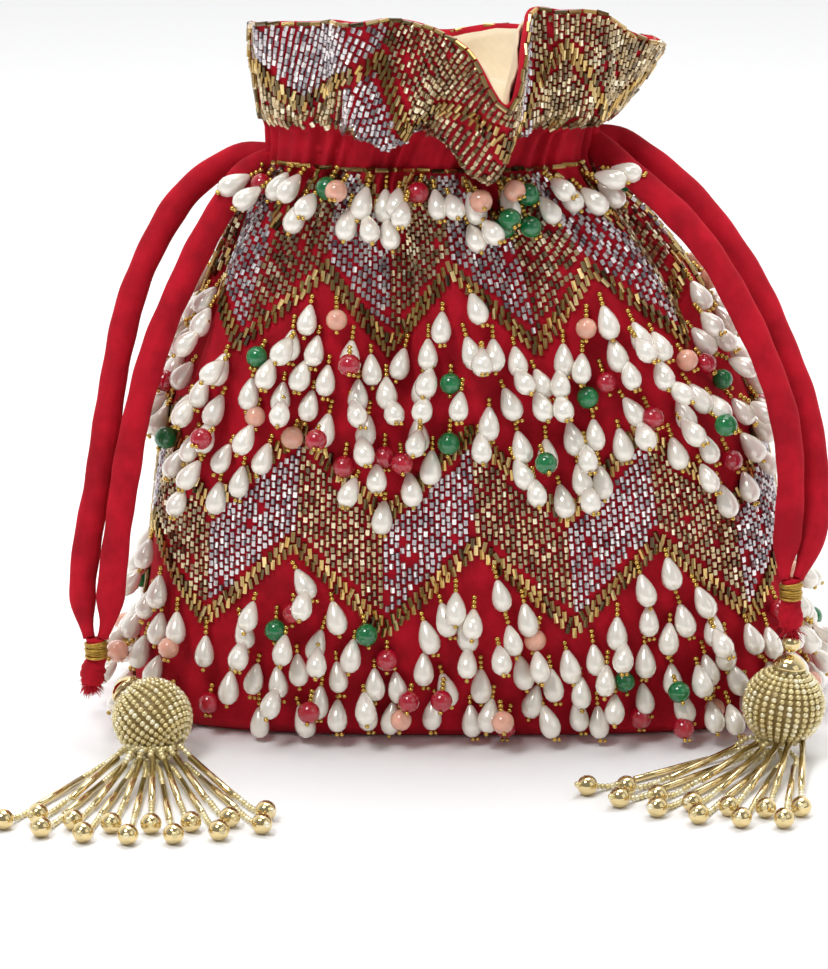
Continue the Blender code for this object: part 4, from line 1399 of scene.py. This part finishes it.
class POTLI_OT_tassels(bpy.types.Operator):
    """The beaded balls with their caps and fans of strands"""

    bl_idname = "potli.tassels"
    bl_label = "Tassels"

    ball_rows: IntProperty(name="Ball rows", description="Rows of seeds from pole to pole", default=28)

    def cover(self, seeds, centre, radius, axis, size):
        """Rows of seeds from pole to pole over a ball. Every other row stops short of the poles."""
        pole = np.array(axis, float)
        pole /= np.linalg.norm(pole)
        first = np.cross(pole, (0.2, 1, 0.1))
        first /= np.linalg.norm(first)
        second = np.cross(pole, first)
        levels = np.linspace(0.3, math.pi - 0.3, int((math.pi - 0.6) * radius / (size * 0.88)))
        for row in range(self.ball_rows):
            spin = 2 * math.pi * row / self.ball_rows
            ray = first * math.cos(spin) + second * math.sin(spin)
            tilts = levels[2:-2] if row % 2 else levels
            rays = pole * np.cos(tilts)[:, None] + ray * np.sin(tilts)[:, None]
            along = -pole * np.sin(tilts)[:, None] + ray * np.cos(tilts)[:, None]
            seeds.add(centre + rays * (radius - size / 2), along, rays)

    def strand(self, path, seeds, bugles, balls, seed):
        """Seeds, one long bugle, more seeds, a gold ball and an end seed along one thread."""
        run = run_along(path)

        def at(place):
            return read_along([place], run, path)[0]

        def put(beads, place, scale=1.0):
            beads.add(at(place), at(place + 1) - at(place - 1), (0, 0, 1.0), scale)

        pitch = seed * 0.92
        end = run[-1]
        put(balls, end)
        tail = end - STRAND_END_RADIUS - seed / 2 - pitch * np.arange(CHANCE.integers(7, 11))
        bugle = tail[-1] - seed / 2 - TASSEL_BUGLE_HALF
        put(bugles, bugle)
        for place in [*tail, *np.arange(bugle - TASSEL_BUGLE_HALF - seed / 2, 0.5, -pitch)]:
            put(seeds, place)
        beyond = at(end) + (at(end) - at(end - 2)) / 2 * (STRAND_END_RADIUS + 0.7)
        seeds.add(beyond, (0.3, 0.4, 0.5), (0, 0, 1.0), 1.05)

    def tassel(self, side, centre, radius, axis, fan):
        seed = TASSEL_SEED
        seeds = Strung(round_bead(seed / 2, 8, 5, 0.92))
        bugles = Strung(cut_bead(TASSEL_BUGLE_HALF, 1.0, 8, 0.15))
        balls = Strung(round_bead(STRAND_END_RADIUS, 16, 11))
        centre = np.array(centre)
        pole = np.array(axis, float)
        pole /= np.linalg.norm(pole)
        self.cover(seeds, centre, radius, axis, seed)
        ends = fan_ends(centre, fan)
        toward = Vector(np.mean(ends, axis=0)) - Vector(centre[:2])
        toward.normalize()
        for index, end in enumerate(ends):
            aside = (index / (len(ends) - 1) - 0.5) * 2 * STRAND_SPREAD
            knots = strand_knots(centre, radius, toward, aside, index % 2, end)
            gather = centre - pole * (radius - 0.6)
            gather[2] = max(gather[2], 1.4)
            fine, _ = cord_path([tuple(gather * 0.55 + np.array(knots[0]) * 0.45), *knots])
            self.strand(fine[::8], seeds, bugles, balls, seed)
        body = side + "_tassel"
        strands = [f"{side}_strand_{k + 1:02d}" for k in range(len(ends))]
        on_body(body, seeds.piece(side + "_tassel_seeds", "tassel"), "gold_seed_beads", *strands)
        on_body(body, bugles.piece(side + "_tassel_bugles", "polished"), "polished_gold")
        on_body(body, balls.piece(side + "_tassel_end_balls", "polished"), "polished_gold")
        core = Strung(round_bead(radius - seed * 0.55, 32, 17))
        core.add(centre, pole, (0.2, 1, 0.1))
        on_body(body, core.piece(side + "_tassel_core", "core"), "gold_seed_beads", side + "_tassel_ball")
        return centre, pole, body

    def cap(self, side, centre, radius, pole, body):
        """A domed cap on the ball's upper pole, dished over its seeds."""
        foot = radius - math.sqrt(radius**2 - CAP_RADIUS**2)
        shape = ((0.0, 0), (-0.1, 2.4), (-0.35 * foot, 3.4), (-0.9 * foot, CAP_RADIUS - 0.2),
                 (-0.7 * foot, CAP_RADIUS), (-0.2 * foot, CAP_RADIUS - 0.1), (0.7, 4.4), (1.4, 3.7),
                 (2.2, 2.6), (2.8, 1.4), (3.0, 0))
        metal = Strung(turned_bead(list(shape), 24))
        metal.add(centre + pole * (radius + TOUCH_GAP), pole, (0.2, 1, 0.1))
        on_body(body, metal.piece(side + "_tassel_cap_metal", "polished"), "polished_gold",
                side + "_tassel_cap")

    def execute(self, context):
        for side, centre, radius, axis, fan in (
            ("left", LEFT_BALL, LEFT_BALL_RADIUS, LEFT_BALL_AXIS, LEFT_FAN),
            ("right", RIGHT_BALL, RIGHT_BALL_RADIUS, RIGHT_BALL_AXIS, RIGHT_FAN),
        ):
            place, pole, body = self.tassel(side, centre, radius, axis, fan)
            self.cap(side, place, radius, pole, body)
        bead = Strung(round_bead(RIGHT_BEAD_RADIUS, 20, 13))
        bead.add(RIGHT_BEAD, (0, 0, 1), (1, 0, 0))
        on_body("right_tassel", bead.piece("right_thread_bead_gold", "polished"), "polished_gold",
                "right_thread_bead")
        return {"FINISHED"}


STEPS = (
    POTLI_OT_stage, POTLI_OT_cords, POTLI_OT_velvet, POTLI_OT_lining, POTLI_OT_base, POTLI_OT_bands,
    POTLI_OT_borders, POTLI_OT_trims, POTLI_OT_fringe, POTLI_OT_tassels,
)


class POTLI_PT_panel(bpy.types.Panel):
    """The bag's sizes, colours and steps"""

    bl_idname = "POTLI_PT_panel"
    bl_label = "Potli Bag"
    bl_space_type = "VIEW_3D"
    bl_region_type = "UI"
    bl_category = "Potli Bag"

    def draw(self, context):
        for group in (context.scene.potli_sizes, context.scene.potli_colours):
            box = self.layout.box()
            for name in group.bl_rna.properties.keys():
                if name not in ("rna_type", "name"):
                    box.prop(group, name)
        for made in STEPS:
            self.layout.operator(made.bl_idname)


CLASSES = (PotliSizes, PotliColours, *STEPS, POTLI_PT_panel)


def register():
    for made in CLASSES:
        bpy.utils.register_class(made)
    bpy.types.Scene.potli_sizes = PointerProperty(type=PotliSizes)
    bpy.types.Scene.potli_colours = PointerProperty(type=PotliColours)


def unregister():
    del bpy.types.Scene.potli_sizes, bpy.types.Scene.potli_colours
    for made in reversed(CLASSES):
        bpy.utils.unregister_class(made)


def main():
    register()
    for made in STEPS:
        getattr(bpy.ops.potli, made.bl_idname.split(".")[1])()


if __name__ == "__main__":
    main()
